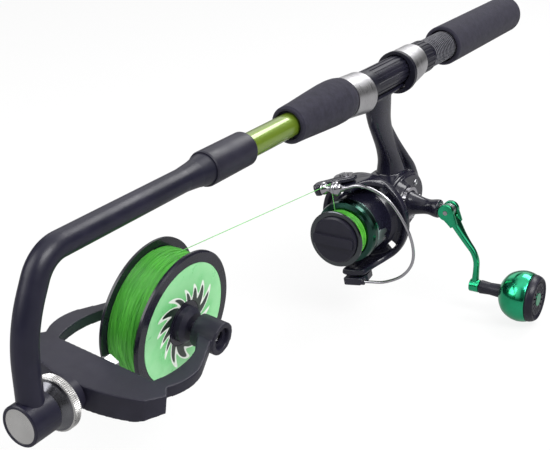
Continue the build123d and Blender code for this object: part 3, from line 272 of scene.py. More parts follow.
# ---------------------------------------------------------------- materials
strand_low, strand_high = (0.03, 0.27, 0.015), (0.13, 0.62, 0.06)
supply_turn = (math.atan2(-supply_axis.z, supply_axis.y), 0, 0)
supply_strands = line_colour("supply_strands", strand_low, strand_high, (0.04, 1.0, 0.04), supply_turn)
reel_strands = line_colour("reel_strands", strand_low, (0.16, 0.74, 0.05), (1.0, 0.04, 0.04))
across_x = (1.0, 0.06, 0.06)
materials = {
    "grip_foam": foam("grip_foam"),
    "rod_lacquer": lacquer("rod_lacquer"),
    "seat_plastic": worn_plastic("seat_plastic", (0.009, 0.009, 0.016), (0.015, 0.014, 0.026), 0.30),
    "hood_metal": metal("hood_metal", (0.62, 0.61, 0.63), (0.74, 0.73, 0.75), 0.34, across_x, 0.00002),
    "black_plastic": worn_plastic("black_plastic", (0.011, 0.010, 0.021), (0.018, 0.017, 0.031), 0.40),
    "arm_paint": worn_plastic("arm_paint", (0.008, 0.008, 0.019), (0.013, 0.012, 0.027), 0.34),
    "bright_metal": metal("bright_metal", (0.68, 0.67, 0.66), (0.80, 0.79, 0.78), 0.30, (1.0, 0.1, 0.1)),
    "steel": metal("steel", (0.42, 0.42, 0.44), (0.54, 0.54, 0.56), 0.28, (0.1, 1.0, 1.0)),
    "chrome_trim": metal("chrome_trim", (0.50, 0.49, 0.53), (0.60, 0.59, 0.63), 0.16),
    "reel_black": worn_plastic("reel_black", (0.007, 0.007, 0.016), (0.013, 0.012, 0.024), 0.22, 0.35),
    "crank_green": metal("crank_green", (0.012, 0.44, 0.19), (0.03, 0.60, 0.29), 0.16, coat=0.5),
    "spool_green": spool_finish("spool_green"),
    "knob_black": worn_plastic("knob_black", (0.008, 0.008, 0.016), (0.014, 0.013, 0.024), 0.34),
    "gunmetal": metal("gunmetal", (0.34, 0.40, 0.40), (0.46, 0.53, 0.53), 0.42),
    "gear_brass": metal("gear_brass", (0.58, 0.42, 0.16), (0.70, 0.52, 0.22), 0.25),
    "gear_alloy": metal("gear_alloy", (0.48, 0.48, 0.49), (0.58, 0.58, 0.59), 0.36),
    "spool_plastic": worn_plastic("spool_plastic", (0.008, 0.008, 0.015), (0.014, 0.013, 0.024), 0.22, 0.3),
    "label_green": label_print("label_green"),
    "line_green": line_colour("line_green", (0.10, 0.50, 0.08), (0.22, 0.74, 0.18)),
}
for part in frame["record"]["subparts"]:
    node_object = nodes[part["node"]]
    node_object.data.materials.clear()
    node_object.data.materials.append(materials[part["material_slot"]])


# ---------------------------------------------------------------- mesh helpers
def skin(name, vertices, faces):
    """A mesh with its faces turned outward."""
    mesh = bpy.data.meshes.new(name)
    mesh.from_pydata([tuple(v) for v in vertices], [], [tuple(f) for f in faces])
    mesh.validate()
    work = bmesh.new()
    work.from_mesh(mesh)
    bmesh.ops.recalc_face_normals(work, faces=work.faces)
    work.to_mesh(mesh)
    work.free()
    return mesh


def piece(name, vertices, faces, material, body, replaced=(), smooth=True):
    """A mesh piece that rides on a body and takes a record slot's material."""
    mesh = skin(name, vertices, faces)
    for polygon in mesh.polygons:
        polygon.use_smooth = smooth
    made = bpy.data.objects.new(name, mesh)
    bpy.context.scene.collection.objects.link(made)
    made.data.materials.append(materials[material])
    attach(made, body)
    if replaced:
        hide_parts(*replaced)
    return made


def axis_frame(centre, axis, start):
    """Matrix whose X runs along an axis and whose Y points towards start."""
    ahead = Vector(axis).normalized()
    across = (Vector(start) - ahead * Vector(start).dot(ahead)).normalized()
    up = ahead.cross(across)
    turn = Matrix((ahead, across, up)).transposed().to_4x4()
    return Matrix.Translation(centre) @ turn


def coordinates(mesh):
    """Places of a mesh's vertices, an N by 3 array."""
    flat = np.empty(len(mesh.vertices) * 3)
    mesh.vertices.foreach_get("co", flat)
    return flat.reshape(-1, 3)


def turned_ring(x, radii, turns):
    """Ring of points about X at some radii and angles."""
    return np.stack([np.full(len(turns), x), radii * np.cos(turns), radii * np.sin(turns)], axis=1)


def ring_faces(rows, count, closed=False):
    """Faces between neighbouring rings of points, and from the last to the first where closed."""
    faces = []
    for k in range(rows if closed else rows - 1):
        n = (k + 1) % rows
        for s in range(count):
            t = (s + 1) % count
            faces.append((k * count + s, k * count + t, n * count + t, n * count + s))
    return faces


def loft(rings):
    """Closed skin through rings that have the same number of points."""
    count = len(rings[0])
    vertices = np.concatenate([np.asarray(ring, float) for ring in rings])
    faces = ring_faces(len(rings), count)
    faces.append(tuple(range(count))[::-1])
    faces.append(tuple(range(len(vertices) - count, len(vertices))))
    return vertices, faces


def tube_along(points, radius, sides):
    """Vertices and faces of a round bar along points (an N by 3 array)."""
    points = np.asarray(points, float)
    tangents = np.gradient(points, axis=0)
    tangents /= np.linalg.norm(tangents, axis=1)[:, None]
    normal = np.cross(tangents[0], [0.31, 0.52, 0.79])
    normals = []
    for tangent in tangents:
        normal = normal - tangent * normal.dot(tangent)
        normal = normal / np.linalg.norm(normal)
        normals.append(normal)
    normals = np.array(normals)
    sideways = np.cross(tangents, normals)
    turn = np.linspace(0, 2 * math.pi, sides, endpoint=False)
    cosine, sine = np.cos(turn)[None, :, None], np.sin(turn)[None, :, None]
    ring = normals[:, None, :] * cosine + sideways[:, None, :] * sine
    return loft(points[:, None, :] + radius * ring)


def joined(parts):
    """Vertices and faces of several meshes put together."""
    vertices, faces, count = [], [], 0
    for some, more in parts:
        vertices.append(np.asarray(some, float))
        faces += [tuple(i + count for i in face) for face in more]
        count += len(some)
    return np.concatenate(vertices), faces


def helix(radius, start, end, turns, phase):
    """Points of a helix about X."""
    steps_per_turn = 72
    t = np.linspace(0, 1, int(abs(turns) * steps_per_turn) + 1)
    angle = phase + 2 * math.pi * turns * t
    return np.stack([start + (end - start) * t, radius * np.cos(angle), radius * np.sin(angle)], axis=1)


def placed(matrix, vertices):
    """Vertices moved by a matrix."""
    m = np.array(matrix)
    return np.asarray(vertices) @ m[:3, :3].T + m[:3, 3]


# ---------------------------------------------------------------- windings
def winding(name, nodes_under, strands, body, centre, axis, core_r, low, high, wire, crossings):
    """Line on a spool: close turns in a bed, with strands that cross it in both directions."""
    pitch, sides = wire * 0.98, 6
    bed_r = core_r + wire * 0.35
    scatter, crossing_span, phase_step, layers = 5.3, 0.37, 2.4, 3
    place = axis_frame(centre, axis, (0, 0, 1))
    turns = int((high - low - wire) / pitch)
    parts = [tube_along(helix(bed_r, low + wire / 2, high - wire / 2, turns, 0.0), wire / 2, sides)]
    room = high - low - 2 * wire
    for k in range(crossings):
        share = k / crossings * scatter
        start = low + wire + room * (share % 1.0)
        end = low + wire + room * ((share + crossing_span) % 1.0)
        level = bed_r + wire * (0.55 + 0.18 * (k % layers))
        parts.append(tube_along(helix(level, start, end, 1.0, phase_step * k), wire / 2, sides))
    vertices, faces = joined(parts)
    made = piece(name, placed(place, vertices), faces, "line_green", body, nodes_under)
    made.data.materials[0] = strands
    return made


def core_size(node, centre, axis):
    """Radius of a round node about an axis, and its ends along the axis."""
    points = coordinates(nodes[node].data) - np.array(centre)
    along = points @ np.array(axis)
    away = np.linalg.norm(points - along[:, None] * np.array(axis)[None, :], axis=1)
    return away.max(), along.min(), along.max()


winding(
    "supply_winding", ("line_winding", "line_core"), supply_strands, "line_spool", supply_centre,
    supply_axis, *core_size("line_core", supply_centre, supply_axis), wire=0.42 * MM, crossings=12,
)
reel_axis = Vector((1, 0, 0))
winding(
    "reel_winding", ("reel_line_winding", "reel_line_core"), reel_strands, "reel_spool", rotor_centre,
    reel_axis, *core_size("reel_line_core", rotor_centre, reel_axis), wire=0.34 * MM, crossings=14,
)


# ---------------------------------------------------------------- moulded forms
reel_place = Matrix.Translation(rotor_centre) @ Matrix.Scale(MM, 4)
rotor_up = -joint_axis("bail_swing")
rotor_place = reel_place @ Matrix.Rotation(math.atan2(-rotor_up.y, rotor_up.z), 4, "X")
pivot_x = (joint_point("bail_swing").x - rotor_centre.x) / MM
roller_x = (roller_centre.x - rotor_centre.x) / MM
roller_rise = (roller_centre - rotor_centre).dot(rotor_up) / MM
crank_x = (crank_centre.x - rotor_centre.x) / MM
crank_z = (crank_centre.z - rotor_centre.z) / MM
foot_under = -rotor_centre.z / MM


def curved(points, steps=6, closed=False):
    """Points along a smooth curve through the given points."""
    count = len(points)
    rows = [np.array(p, float) for p in points]
    made = []
    last = count if closed else count - 1
    for k in range(last):
        b, c = rows[k], rows[(k + 1) % count]
        a = rows[k - 1] if closed or k else b
        d = rows[(k + 2) % count] if closed or k + 2 < count else c
        for t in np.arange(steps) / steps:
            made.append(0.5 * (
                2 * b + (c - a) * t + (2 * a - 5 * b + 4 * c - d) * t**2 + (3 * b - a - 3 * c + d) * t**3
            ))
    if not closed:
        made.append(rows[-1])
    return made


def lathe(profile, start=0.0, end=360.0, sides=96):
    """Closed profile of (along, radius) points turned about X between two angles, from +Y to +Z."""
    whole = end - start >= 360
    steps = sides if whole else max(4, int(sides * (end - start) / 360))
    turns = np.radians(np.linspace(start, end, steps + 1))
    profile = np.asarray(profile, float)
    along, away = profile[:, 0], profile[:, 1]
    rings = [np.stack([along, away * math.cos(a), away * math.sin(a)], axis=1) for a in turns]
    if not whole:
        return loft(rings)
    return np.concatenate(rings[:-1]), ring_faces(steps, len(profile), closed=True)


def oval(centre, along, across, half_along, half_across, power=2.0, sides=40):
    """Ring of points: an oval, squarer as its power grows."""
    centre, along, across = (np.asarray(v, float) for v in (centre, along, across))
    turns = np.linspace(0, 2 * math.pi, sides, endpoint=False)
    ring = []
    for a in turns:
        c, s = math.cos(a), math.sin(a)
        u = math.copysign(abs(c) ** (2 / power), c) * half_along
        v = math.copysign(abs(s) ** (2 / power), s) * half_across
        ring.append(centre + along * u + across * v)
    return ring


def pillow(outline, levels):
    """Slab of an outline in X and Z: (depth along Y, inset) levels give it rounded rims."""
    outline = np.asarray(outline, float)
    middle = outline.mean(axis=0)
    reach = np.linalg.norm(outline - middle, axis=1).mean()
    rings = []
    for depth, inset in levels:
        flat = middle + (outline - middle) * (1 - inset / reach)
        rings.append(np.stack([flat[:, 0], np.full(len(flat), depth), flat[:, 1]], axis=1))
    return loft(rings)


def wrapped_band(stations, middle_angle):
    """Band wrapped about X: (x, radius, half angle, half thickness) stations with rounded edges."""
    rings = []
    for x, radius, half_angle, half_thickness in stations:
        section = np.array(oval((0, 0), (1, 0), (0, 1), half_angle, half_thickness, 5.0, 44))
        rings.append(turned_ring(x, radius + section[:, 1], np.radians(middle_angle + section[:, 0])))
    return loft(rings)


def fused(name, parts, place, voxel, rounds, material, body, replaced):
    """Overlapping closed forms melted into one smooth moulding."""
    rough = bpy.data.objects.new(name + "_rough", skin(name + "_rough", *joined(parts)))
    bpy.context.scene.collection.objects.link(rough)
    remesh = rough.modifiers.new("remesh", "REMESH")
    remesh.mode = "VOXEL"
    remesh.voxel_size = voxel
    smooth = rough.modifiers.new("smooth", "SMOOTH")
    smooth.factor = 0.5
    smooth.iterations = rounds
    graph = bpy.context.evaluated_depsgraph_get()
    melted = bpy.data.meshes.new_from_object(rough.evaluated_get(graph))
    bpy.data.objects.remove(rough)
    polygons = [tuple(p.vertices) for p in melted.polygons]
    piece(name, placed(place, coordinates(melted)), polygons, material, body, replaced)


def softened(name, node, voxel, rounds, material, body):
    """The form of a CAD node with its hard edges rounded as a moulding's or casting's are."""
    source = nodes[node].data
    form = coordinates(source) / MM, [tuple(p.vertices) for p in source.polygons]
    fused(name, [form], Matrix.Scale(MM, 4), voxel, rounds, material, body, (node,))


def turned_piece(name, profile, place, material, body, replaced):
    """A lathed piece in place of a CAD node."""
    vertices, faces = lathe(profile)
    piece(name, placed(place, vertices), faces, material, body, replaced)


# ---------------------------------------------------------------- reel housing
# The reel's forms are in millimetres about the rotor's centre: +X runs to the front, +Z up to the rod.
case_half_width, cover_face = 12.0, 13.4
axle = 0.001  # radius that closes a lathed form on its axis
case_outline = curved([
    (7.3, 12.5), (-2, 18.8), (-13, 21.8), (-25, 21.4), (-37, 18.0), (-45, 11.0), (-48.5, 2.5),
    (-45.5, -6.5), (-37, -13.5), (-24, -18.5), (-8, -19.5), (3, -16), (7.3, -11),
], 5, True)


def reel_housing():
    """Gear case, leaning stem with a rear strut and a web, and the foot under the rod."""
    ahead, side = (1, 0, 0), (0, 1, 0)
    case = pillow(case_outline, [
        (-case_half_width, 4.5), (-case_half_width + 0.8, 2.4), (-case_half_width + 3, 0.6), (-6, 0.0),
        (6, 0.0), (case_half_width - 2, 0.3), (case_half_width - 0.4, 0.9), (case_half_width, 1.6),
    ])
    stem_stations = curved([
        (79, 0, 13.5, 6.5), (72, -1.2, 12.8, 6.0), (62, -3.4, 11.6, 5.2), (53, -7.5, 10.4, 5.0),
        (44, -12.5, 9.4, 5.2), (36, -17.0, 9.2, 6.0), (28, -20.5, 10.0, 7.2), (16, -23.0, 13.0, 9.5),
    ], 4)
    stem = loft([oval((x, 0, z), ahead, side, a, b, 2.6) for z, x, a, b in stem_stations])
    strut_stations = curved([
        (57, -11.5, 4.0, 3.6), (46, -19.5, 3.9, 5.0), (38, -25.5, 3.8, 6.6), (30, -31.5, 4.0, 8.4),
        (22, -37.0, 5.0, 10.0), (12, -41.0, 6.5, 11.0),
    ], 4)
    strut = loft([oval((x, 0, z), ahead, side, a, b, 3.2) for z, x, a, b in strut_stations])
    web = pillow([(-8, 52), (-16, 52), (-40, 20), (-24, 18)], [(-3.4, 0), (3.4, 0)])
    neck_bore, neck_r, neck_front = 6.65, 9.6, 10.3
    neck = lathe([(0, neck_bore), (neck_front, neck_bore), (neck_front, neck_r), (0, neck_r)])
    foot_half, underside = 36.5, 270
    rear_half = [
        (-foot_half, 10.45, 26, 0.9), (-foot_half + 16, 10.9, 33, 1.35), (-foot_half + 24, 11.15, 34, 1.62),
    ]
    stations = rear_half + [(-x, r, a, t) for x, r, a, t in reversed(rear_half)]
    foot_vertices, foot_faces = wrapped_band(stations, underside)
    foot = (foot_vertices + np.array([0, 0, foot_under]), foot_faces)
    fused(
        "reel_housing", [case, stem, strut, web, neck, foot], reel_place, 0.45, 7,
        "reel_black", "handle", ("reel_body",),
    )


def gear_cover():
    """Side cover with its raised collar for the crank."""
    plate = pillow(case_outline, [
        (case_half_width - 1.5, 2.0), (cover_face - 0.9, 2.0), (cover_face - 0.3, 2.5), (cover_face, 3.4),
    ])
    to_crank = Matrix.Translation((crank_x, 0, crank_z)) @ Matrix.Rotation(math.radians(90), 4, "Z")
    collar_root, collar_end, collar_bore = 12.2, 18.5, 4.2
    collar_vertices, collar_faces = lathe([
        (collar_root, collar_bore), (collar_root, 14.4), (13.8, 13.6), (15.6, 12.6), (17.6, 11.9),
        (collar_end, 11.2), (collar_end, collar_bore),
    ])
    collar = (placed(to_crank, collar_vertices), collar_faces)
    fused("gear_cover", [plate, collar], reel_place, 0.4, 3, "reel_black", "handle", ("side_cover",))


def cover_screw_heads():
    """Four screw heads with a drive hole, sunk a little in the cover."""
    parts = []
    head_r, head_rise, drive_r, drive_depth, sunk = 2.2, 1.1, 1.0, 0.7, 0.3
    drive_floor = head_rise - drive_depth
    profile = [
        (-1, axle), (-1, head_r), (head_rise * 0.5, head_r), (head_rise, head_r * 0.75),
        (head_rise, drive_r), (drive_floor, drive_r), (drive_floor, axle),
    ]
    for x, z in [(-33, 11.5), (-40, -1.5), (-29, -11.5), (-1, -11.5)]:
        spot = Matrix.Translation((x, cover_face - sunk, z)) @ Matrix.Rotation(math.radians(90), 4, "Z")
        vertices, faces = lathe(profile, sides=36)
        parts.append((placed(spot, vertices), faces))
    vertices, faces = joined(parts)
    piece("cover_screw_heads", placed(reel_place, vertices), faces, "steel", "handle", ("cover_screws",))


reel_housing()
gear_cover()
cover_screw_heads()


# ---------------------------------------------------------------- rotor
def rotor_shell():
    """Rotor cup inside a full ring, with two arms that flow forward from the ring."""
    rear, cup_front, arm_front, arm_r = 11.3, 36.7, 41.3, 31.0
    cup = lathe([
        (rear, 3.1), (rear, 20.5), (rear + 1.5, 22.5), (rear + 4, 22.3), (rear + 6.5, 19.9),
        (cup_front, 19.5), (cup_front, 17.6), (rear + 5, 17.6), (rear + 5, 3.1),
    ])
    ring = lathe([
        (rear + 0.3, 26.6), (rear, 29.0), (rear + 0.6, 30.6), (rear + 2.2, arm_r), (rear + 5.6, arm_r),
        (rear + 6.4, 30.3), (rear + 5.6, 28.0), (rear + 3.2, 26.6),
    ])
    web_profile = [(rear + 0.4, 20.0), (rear + 0.4, 28.0), (rear + 3.4, 28.0), (rear + 3.4, 20.0)]
    window_start, window_end = 34, 47
    parts = [cup, ring]
    for middle in (90, 270):
        parts.append(lathe(web_profile, middle - window_start, middle + window_start))
        parts.append(lathe(web_profile, middle + window_end, middle + 180 - window_end))
        shape = curved([
            (rear + 1.5, 28.9, 58, 1.9), (rear + 5.0, 28.8, 44, 2.1), (rear + 9, 28.8, 31, 2.2),
            (rear + 14, 28.8, 22.5, 2.25), (rear + 20, 28.8, 18.5, 2.25), (arm_front - 1.5, 28.7, 16.5, 2.25),
            (arm_front, 28.6, 15.4, 1.7),
        ], 4)
        parts.append(wrapped_band(shape, middle))
    fused("rotor_shell", parts, rotor_place, 0.45, 4, "reel_black", "rotor", ("rotor",))


def cup_plates():
    """Curved trim plate, with its screw, on each open side of the cup."""
    parts = []
    plate_r, screw_x, screw_r = 19.5, 28.0, 19.25
    shape = [
        (21.5, plate_r, 15, 0.18), (22.3, plate_r, 19, 0.28),
        (33.5, plate_r, 21, 0.28), (34.5, plate_r, 18, 0.18),
    ]
    screw = [(-0.5, axle), (-0.5, 1.3), (0.3, 1.3), (0.5, 1.0), (0.5, 0.5), (0.1, 0.4), (0.1, axle)]
    for middle in (-26, 154):
        parts.append(wrapped_band(shape, middle))
        spot = Matrix.Rotation(math.radians(middle - 90), 4, "X") @ Matrix.Translation((screw_x, 0, screw_r))
        spot = spot @ Matrix.Rotation(math.radians(-90), 4, "Y")
        vertices, faces = lathe(screw, sides=24)
        parts.append((placed(spot, vertices), faces))
    vertices, faces = joined(parts)
    piece("cup_plates", placed(rotor_place, vertices), faces, "gunmetal", "rotor", ("rotor_plates",))


rotor_shell()
cup_plates()


# ---------------------------------------------------------------- bail
def bail_bow():
    """Slim curved carrier from the upper pivot to the hooked end that holds the roller."""
    stations = curved([
        (pivot_x - 7, 1.5, 33.2, 3.4, 1.4), (pivot_x - 3, 1.0, 33.3, 6.4, 1.9),
        (pivot_x + 2, 0.2, 33.3, 6.8, 1.95), (pivot_x + 7, -1.6, 33.7, 4.9, 1.9),
        (pivot_x + 13, -4.6, 34.4, 3.4, 1.8),
        (pivot_x + 18, -7.0, 34.8, 2.9, 1.8), (pivot_x + 22.5, -7.6, 34.0, 2.6, 2.0),
    ], 5)
    bow = loft([oval((x, y, z), (0, 1, 0), (0, 0, 1), a, b, 3.0) for x, y, z, a, b in stations])
    hook = loft([
        oval((roller_x + x, -7.2, z), (1, 0, 0), (0, 1, 0), a, 2.1, 3.0)
        for x, z, a in ((1.0, 35.4, 3.4), (0.8, 34.0, 4.2), (0.2, 31.0, 4.0), (0.0, 28.8, 2.8))
    ])
    fused("bail_bow", [bow, hook], rotor_place, 0.3, 3, "reel_black", "bail", ("bail_arm",))


def pivot_trim():
    """Bright three-cornered plate at the pivot."""
    underside, face = 34.6, 35.32
    corners = curved([
        (pivot_x - 6.5, 2.0), (pivot_x - 1, -5.8), (pivot_x + 8.5, -2.2), (pivot_x + 1, 5.6),
    ], 6, True)
    rings = [[(x, y, z) for x, y in corners] for z in (underside, face)]
    vertices, faces = loft(rings)
    piece("pivot_trim", placed(rotor_place, vertices), faces, "chrome_trim", "bail", smooth=False)


def roller_parts():
    """Grooved line roller, and the cap beyond it that narrows to the bail's wire."""
    place = axis_frame(roller_centre, roller_axis, (1, 0, 0)) @ Matrix.Scale(MM, 4)
    roller_half, roller_bore = 4.6, 1.06
    groove = curved([
        (-4.3, 4.0), (-3.4, 4.0), (-2.2, 3.3), (-1.0, 2.3), (0, 2.2),
        (1.0, 2.3), (2.2, 3.3), (3.4, 4.0), (4.3, 4.0),
    ], 4)
    roller = [(-roller_half, roller_bore), (-roller_half, 3.6), *groove]
    roller += [(roller_half, 3.6), (roller_half, roller_bore)]
    turned_piece("line_roller_shell", roller, place, "chrome_trim", "roller", ("line_roller",))
    cap_start, cap_end, cap_axle = 4.95, 11.3, 0.01
    cap = [(cap_start, cap_axle), (cap_start, 4.2)] + curved([
        (5.3, 4.6), (6.2, 4.6), (7.0, 3.9), (7.8, 2.6), (9.0, 1.7), (cap_end, 1.15),
    ], 4) + [(cap_end, cap_axle)]
    turned_piece("bail_cap", cap, place, "chrome_trim", "bail", ("bail_cone",))


def bail_loop():
    """Bright wire in one fair curve from the cap round the spool to the lower socket."""
    socket_x, socket_z, wire_r = 40.0, -34.5, 0.95
    route = curved([
        (roller_x, 10.2, roller_rise), (roller_x, 13.0, roller_rise + 0.5),
        (roller_x - 0.3, 20.0, roller_rise + 1.6), (roller_x - 1.0, 29.0, roller_rise - 0.8),
        (roller_x - 2.2, 39.0, roller_rise - 8.5),
        (roller_x - 4.2, 46.0, 10.0), (roller_x - 6.5, 48.5, -5.0), (roller_x - 9.5, 45.0, -18.5),
        (socket_x + 1.8, 35.5, -28.5), (socket_x + 0.6, 22.0, -33.8), (socket_x, 11.0, socket_z - 0.1),
        (socket_x, 5.0, socket_z),
    ], 10)
    vertices, faces = tube_along(route, wire_r, 20)
    piece("bail_loop", placed(rotor_place, vertices), faces, "chrome_trim", "bail", ("bail_wire",))


bail_bow()
bail_loop()
pivot_trim()
roller_parts()


# ---------------------------------------------------------------- castings and the tension nut
def crank_casting():
    """Folding arm: a clevis of two cheeks, an arm that tapers out and down, and the knob's boss."""
    along_x = (1, 0, 0)
    hinge_y = (joint_point("crank_fold").y - crank_centre.y) / MM
    knob_y = (knob_centre.y - crank_centre.y) / MM
    drop = (crank_centre.z - knob_centre.z) / MM
    cheek_r, cheek_in, cheek_out, pin_r = 5.4, 2.75, 5.6, 1.55
    boss_r, boss_half, post_r = 4.2, 3.2, 2.05
    parts = []
    for inner, outer in ((cheek_in, cheek_out), (-cheek_out, -cheek_in)):
        section = [(inner, pin_r), (inner, cheek_r), (outer, cheek_r), (outer, pin_r)]
        vertices, faces = lathe(section, sides=60)
        parts.append((placed(Matrix.Translation((0, hinge_y, 0)), vertices), faces))
        middle, half = (inner + outer) / 2, (outer - inner) / 2
        across_plate = (0, 0.79, 0.61)
        parts.append(loft([
            oval((middle, hinge_y + y, z), along_x, across_plate, half, depth, 5.0, 36)
            for y, z, depth in ((0.4, -0.5, 4.9), (2.2, -2.8, 4.3), (4.2, -5.6, 3.4), (6.0, -8.4, 2.6))
        ]))
    stations = curved([
        (hinge_y + 3.15, -4.05, 5.5, 2.3), (hinge_y + 5.2, -7.0, 5.3, 2.4), (hinge_y + 7.4, -10.4, 4.6, 2.3),
        (hinge_y + 10.8, -15.4, 3.5, 2.1), (hinge_y + 14.6, -20.4, 2.7, 2.0),
        (hinge_y + 18.6, -25.5, 2.3, 1.9),
        (knob_y, -31.5, 2.3, 1.9), (knob_y + 0.2, -38.0, 2.3, 1.9), (knob_y, -44.0, 2.6, 2.1),
        (knob_y, -drop, 3.0, 2.4),
    ], 5)
    rings = []
    for k, (y, z, half_width, half_depth) in enumerate(stations):
        before, after = stations[max(k - 1, 0)], stations[min(k + 1, len(stations) - 1)]
        heading = np.array([0, after[0] - before[0], after[1] - before[1]])
        heading /= np.linalg.norm(heading)
        outward = np.array([0, -heading[2], heading[1]])
        rings.append(oval((0, y, z), along_x, outward, half_width, half_depth, 2.6, 36))
    parts.append(loft(rings))
    boss_vertices, boss_faces = lathe([
        (-boss_half, post_r), (-boss_half, boss_r), (boss_half, boss_r), (boss_half, post_r),
    ], sides=60)
    boss_place = Matrix.Translation((0, knob_y, -drop)) @ Matrix.Rotation(math.radians(90), 4, "Z")
    parts.append((placed(boss_place, boss_vertices), boss_faces))
    place = Matrix.Translation(crank_centre) @ Matrix.Scale(MM, 4)
    fused("crank_casting", parts, place, 0.22, 3, "crank_green", "crank_arm", ("crank_arm",))


def knurled_nut():
    """Tension nut: finely knurled rim, and a smooth cone towards the head."""
    low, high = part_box("tension_nut")
    rear, front = (low[0] - head_centre.x) / MM, (high[0] - head_centre.x) / MM
    rim_r, rim_width, cone_r, bore_r, knurls, steps, knurl_depth = 13.5, 4.5, 8.0, 3.1, 96, 6, 0.34
    rim_front = rear + rim_width
    count = knurls * steps
    turns = 2 * math.pi * np.arange(count) / count
    ridge = knurl_depth * np.abs(np.sin(turns * knurls / 2))
    sections = [
        (rear, bore_r, 0), (rear, rim_r - 0.9, 0), (rear + 0.4, rim_r, 1), (rim_front - 0.4, rim_r, 1),
        (rim_front, rim_r - 0.9, 0), (rim_front + 0.5, rim_r - 2.0, 0),
        (front, cone_r, 0), (front, bore_r, 0),
    ]
    vertices = np.concatenate([turned_ring(x, r - ridge * knurled, turns) for x, r, knurled in sections])
    faces = ring_faces(len(sections), count, closed=True)
    place = Matrix.Translation(head_centre) @ Matrix.Scale(MM, 4)
    nut = piece(
        "knurled_nut", placed(place, vertices), faces, "bright_metal", "tension_nut", ("tension_nut",), False,
    )
    nut.data.materials.append(metal("cone_steel", (0.16, 0.16, 0.18), (0.24, 0.24, 0.26), 0.30))
    cone_start = head_centre.x + (rim_front + 0.2) * MM
    for polygon in nut.data.polygons:
        if polygon.center.x > cone_start:
            polygon.material_index = 1


softened("fork_casting", "spool_fork", 0.45, 4, "black_plastic", "fork")
crank_casting()
softened("socket_lever", "bail_lever", 0.25, 4, "reel_black", "bail")
knurled_nut()


# ---------------------------------------------------------------- crank shroud, knob and seat thread
def crank_forms():
    """Waisted shroud on the crank's shaft, and the round knob with its dark rim."""
    place = axis_frame(crank_centre, (0, 1, 0), (0, 0, 1)) @ Matrix.Scale(MM, 4)
    start, length, shaft_bore = 19.0, 22.7, 3.05
    shroud = [(start, shaft_bore), (start, 8.4)] + curved([
        (start + 0.6, 8.5), (start + 2.2, 8.2), (start + length * 0.25, 6.8), (start + length * 0.5, 5.4),
        (start + length * 0.68, 5.1), (start + length * 0.86, 5.9), (start + length - 0.8, 6.1),
    ], 6) + [(start + length, 5.8), (start + length, shaft_bore)]
    turned_piece("shroud_shell", shroud, place, "reel_black", "crank", ("crank_shroud",))
    knob_place = axis_frame(knob_centre, (0, 1, 0), (0, 0, 1)) @ Matrix.Scale(MM, 4)
    boss_half, gap, sleeve_length, post_bore = 3.2, 0.35, 14.2, 2.06
    ball_start, ball_length, ball_r = boss_half + gap + sleeve_length, 20.7, 16.6
    recess_floor, recess_r = ball_start + 18.6, 10.65
    ball_end = ball_start + ball_length
    ball = [(ball_start, post_bore), (ball_start, ball_r * 0.26)] + curved([
        (ball_start + 0.4, ball_r * 0.34), (ball_start + ball_length * 0.09, ball_r * 0.55),
        (ball_start + ball_length * 0.24, ball_r * 0.79), (ball_start + ball_length * 0.46, ball_r * 0.94),
        (ball_start + ball_length * 0.68, ball_r), (ball_start + ball_length * 0.86, ball_r * 0.985),
        (ball_start + ball_length * 0.98, ball_r * 0.945),
    ], 6) + [
        (ball_end, ball_r * 0.92), (ball_end, recess_r), (recess_floor, recess_r), (recess_floor, post_bore),
    ]
    turned_piece("knob_shell", ball, knob_place, "crank_green", "knob", ("knob_ball",))
    rim_start, rim_end, face_r = ball_end + 0.05, ball_start + 25.7, 10.6
    rim = [
        (rim_start, face_r), (rim_start, ball_r * 0.925), (rim_start + 1.6, ball_r * 0.92),
        (rim_start + 3.4, ball_r * 0.885), (rim_end - 0.5, ball_r * 0.84), (rim_end, ball_r * 0.815),
        (rim_end, 13.0), (rim_end - 0.9, 12.8), (rim_end - 0.9, face_r),
    ]
    turned_piece("knob_bezel", rim, knob_place, "knob_black", "knob", ("knob_rim",))


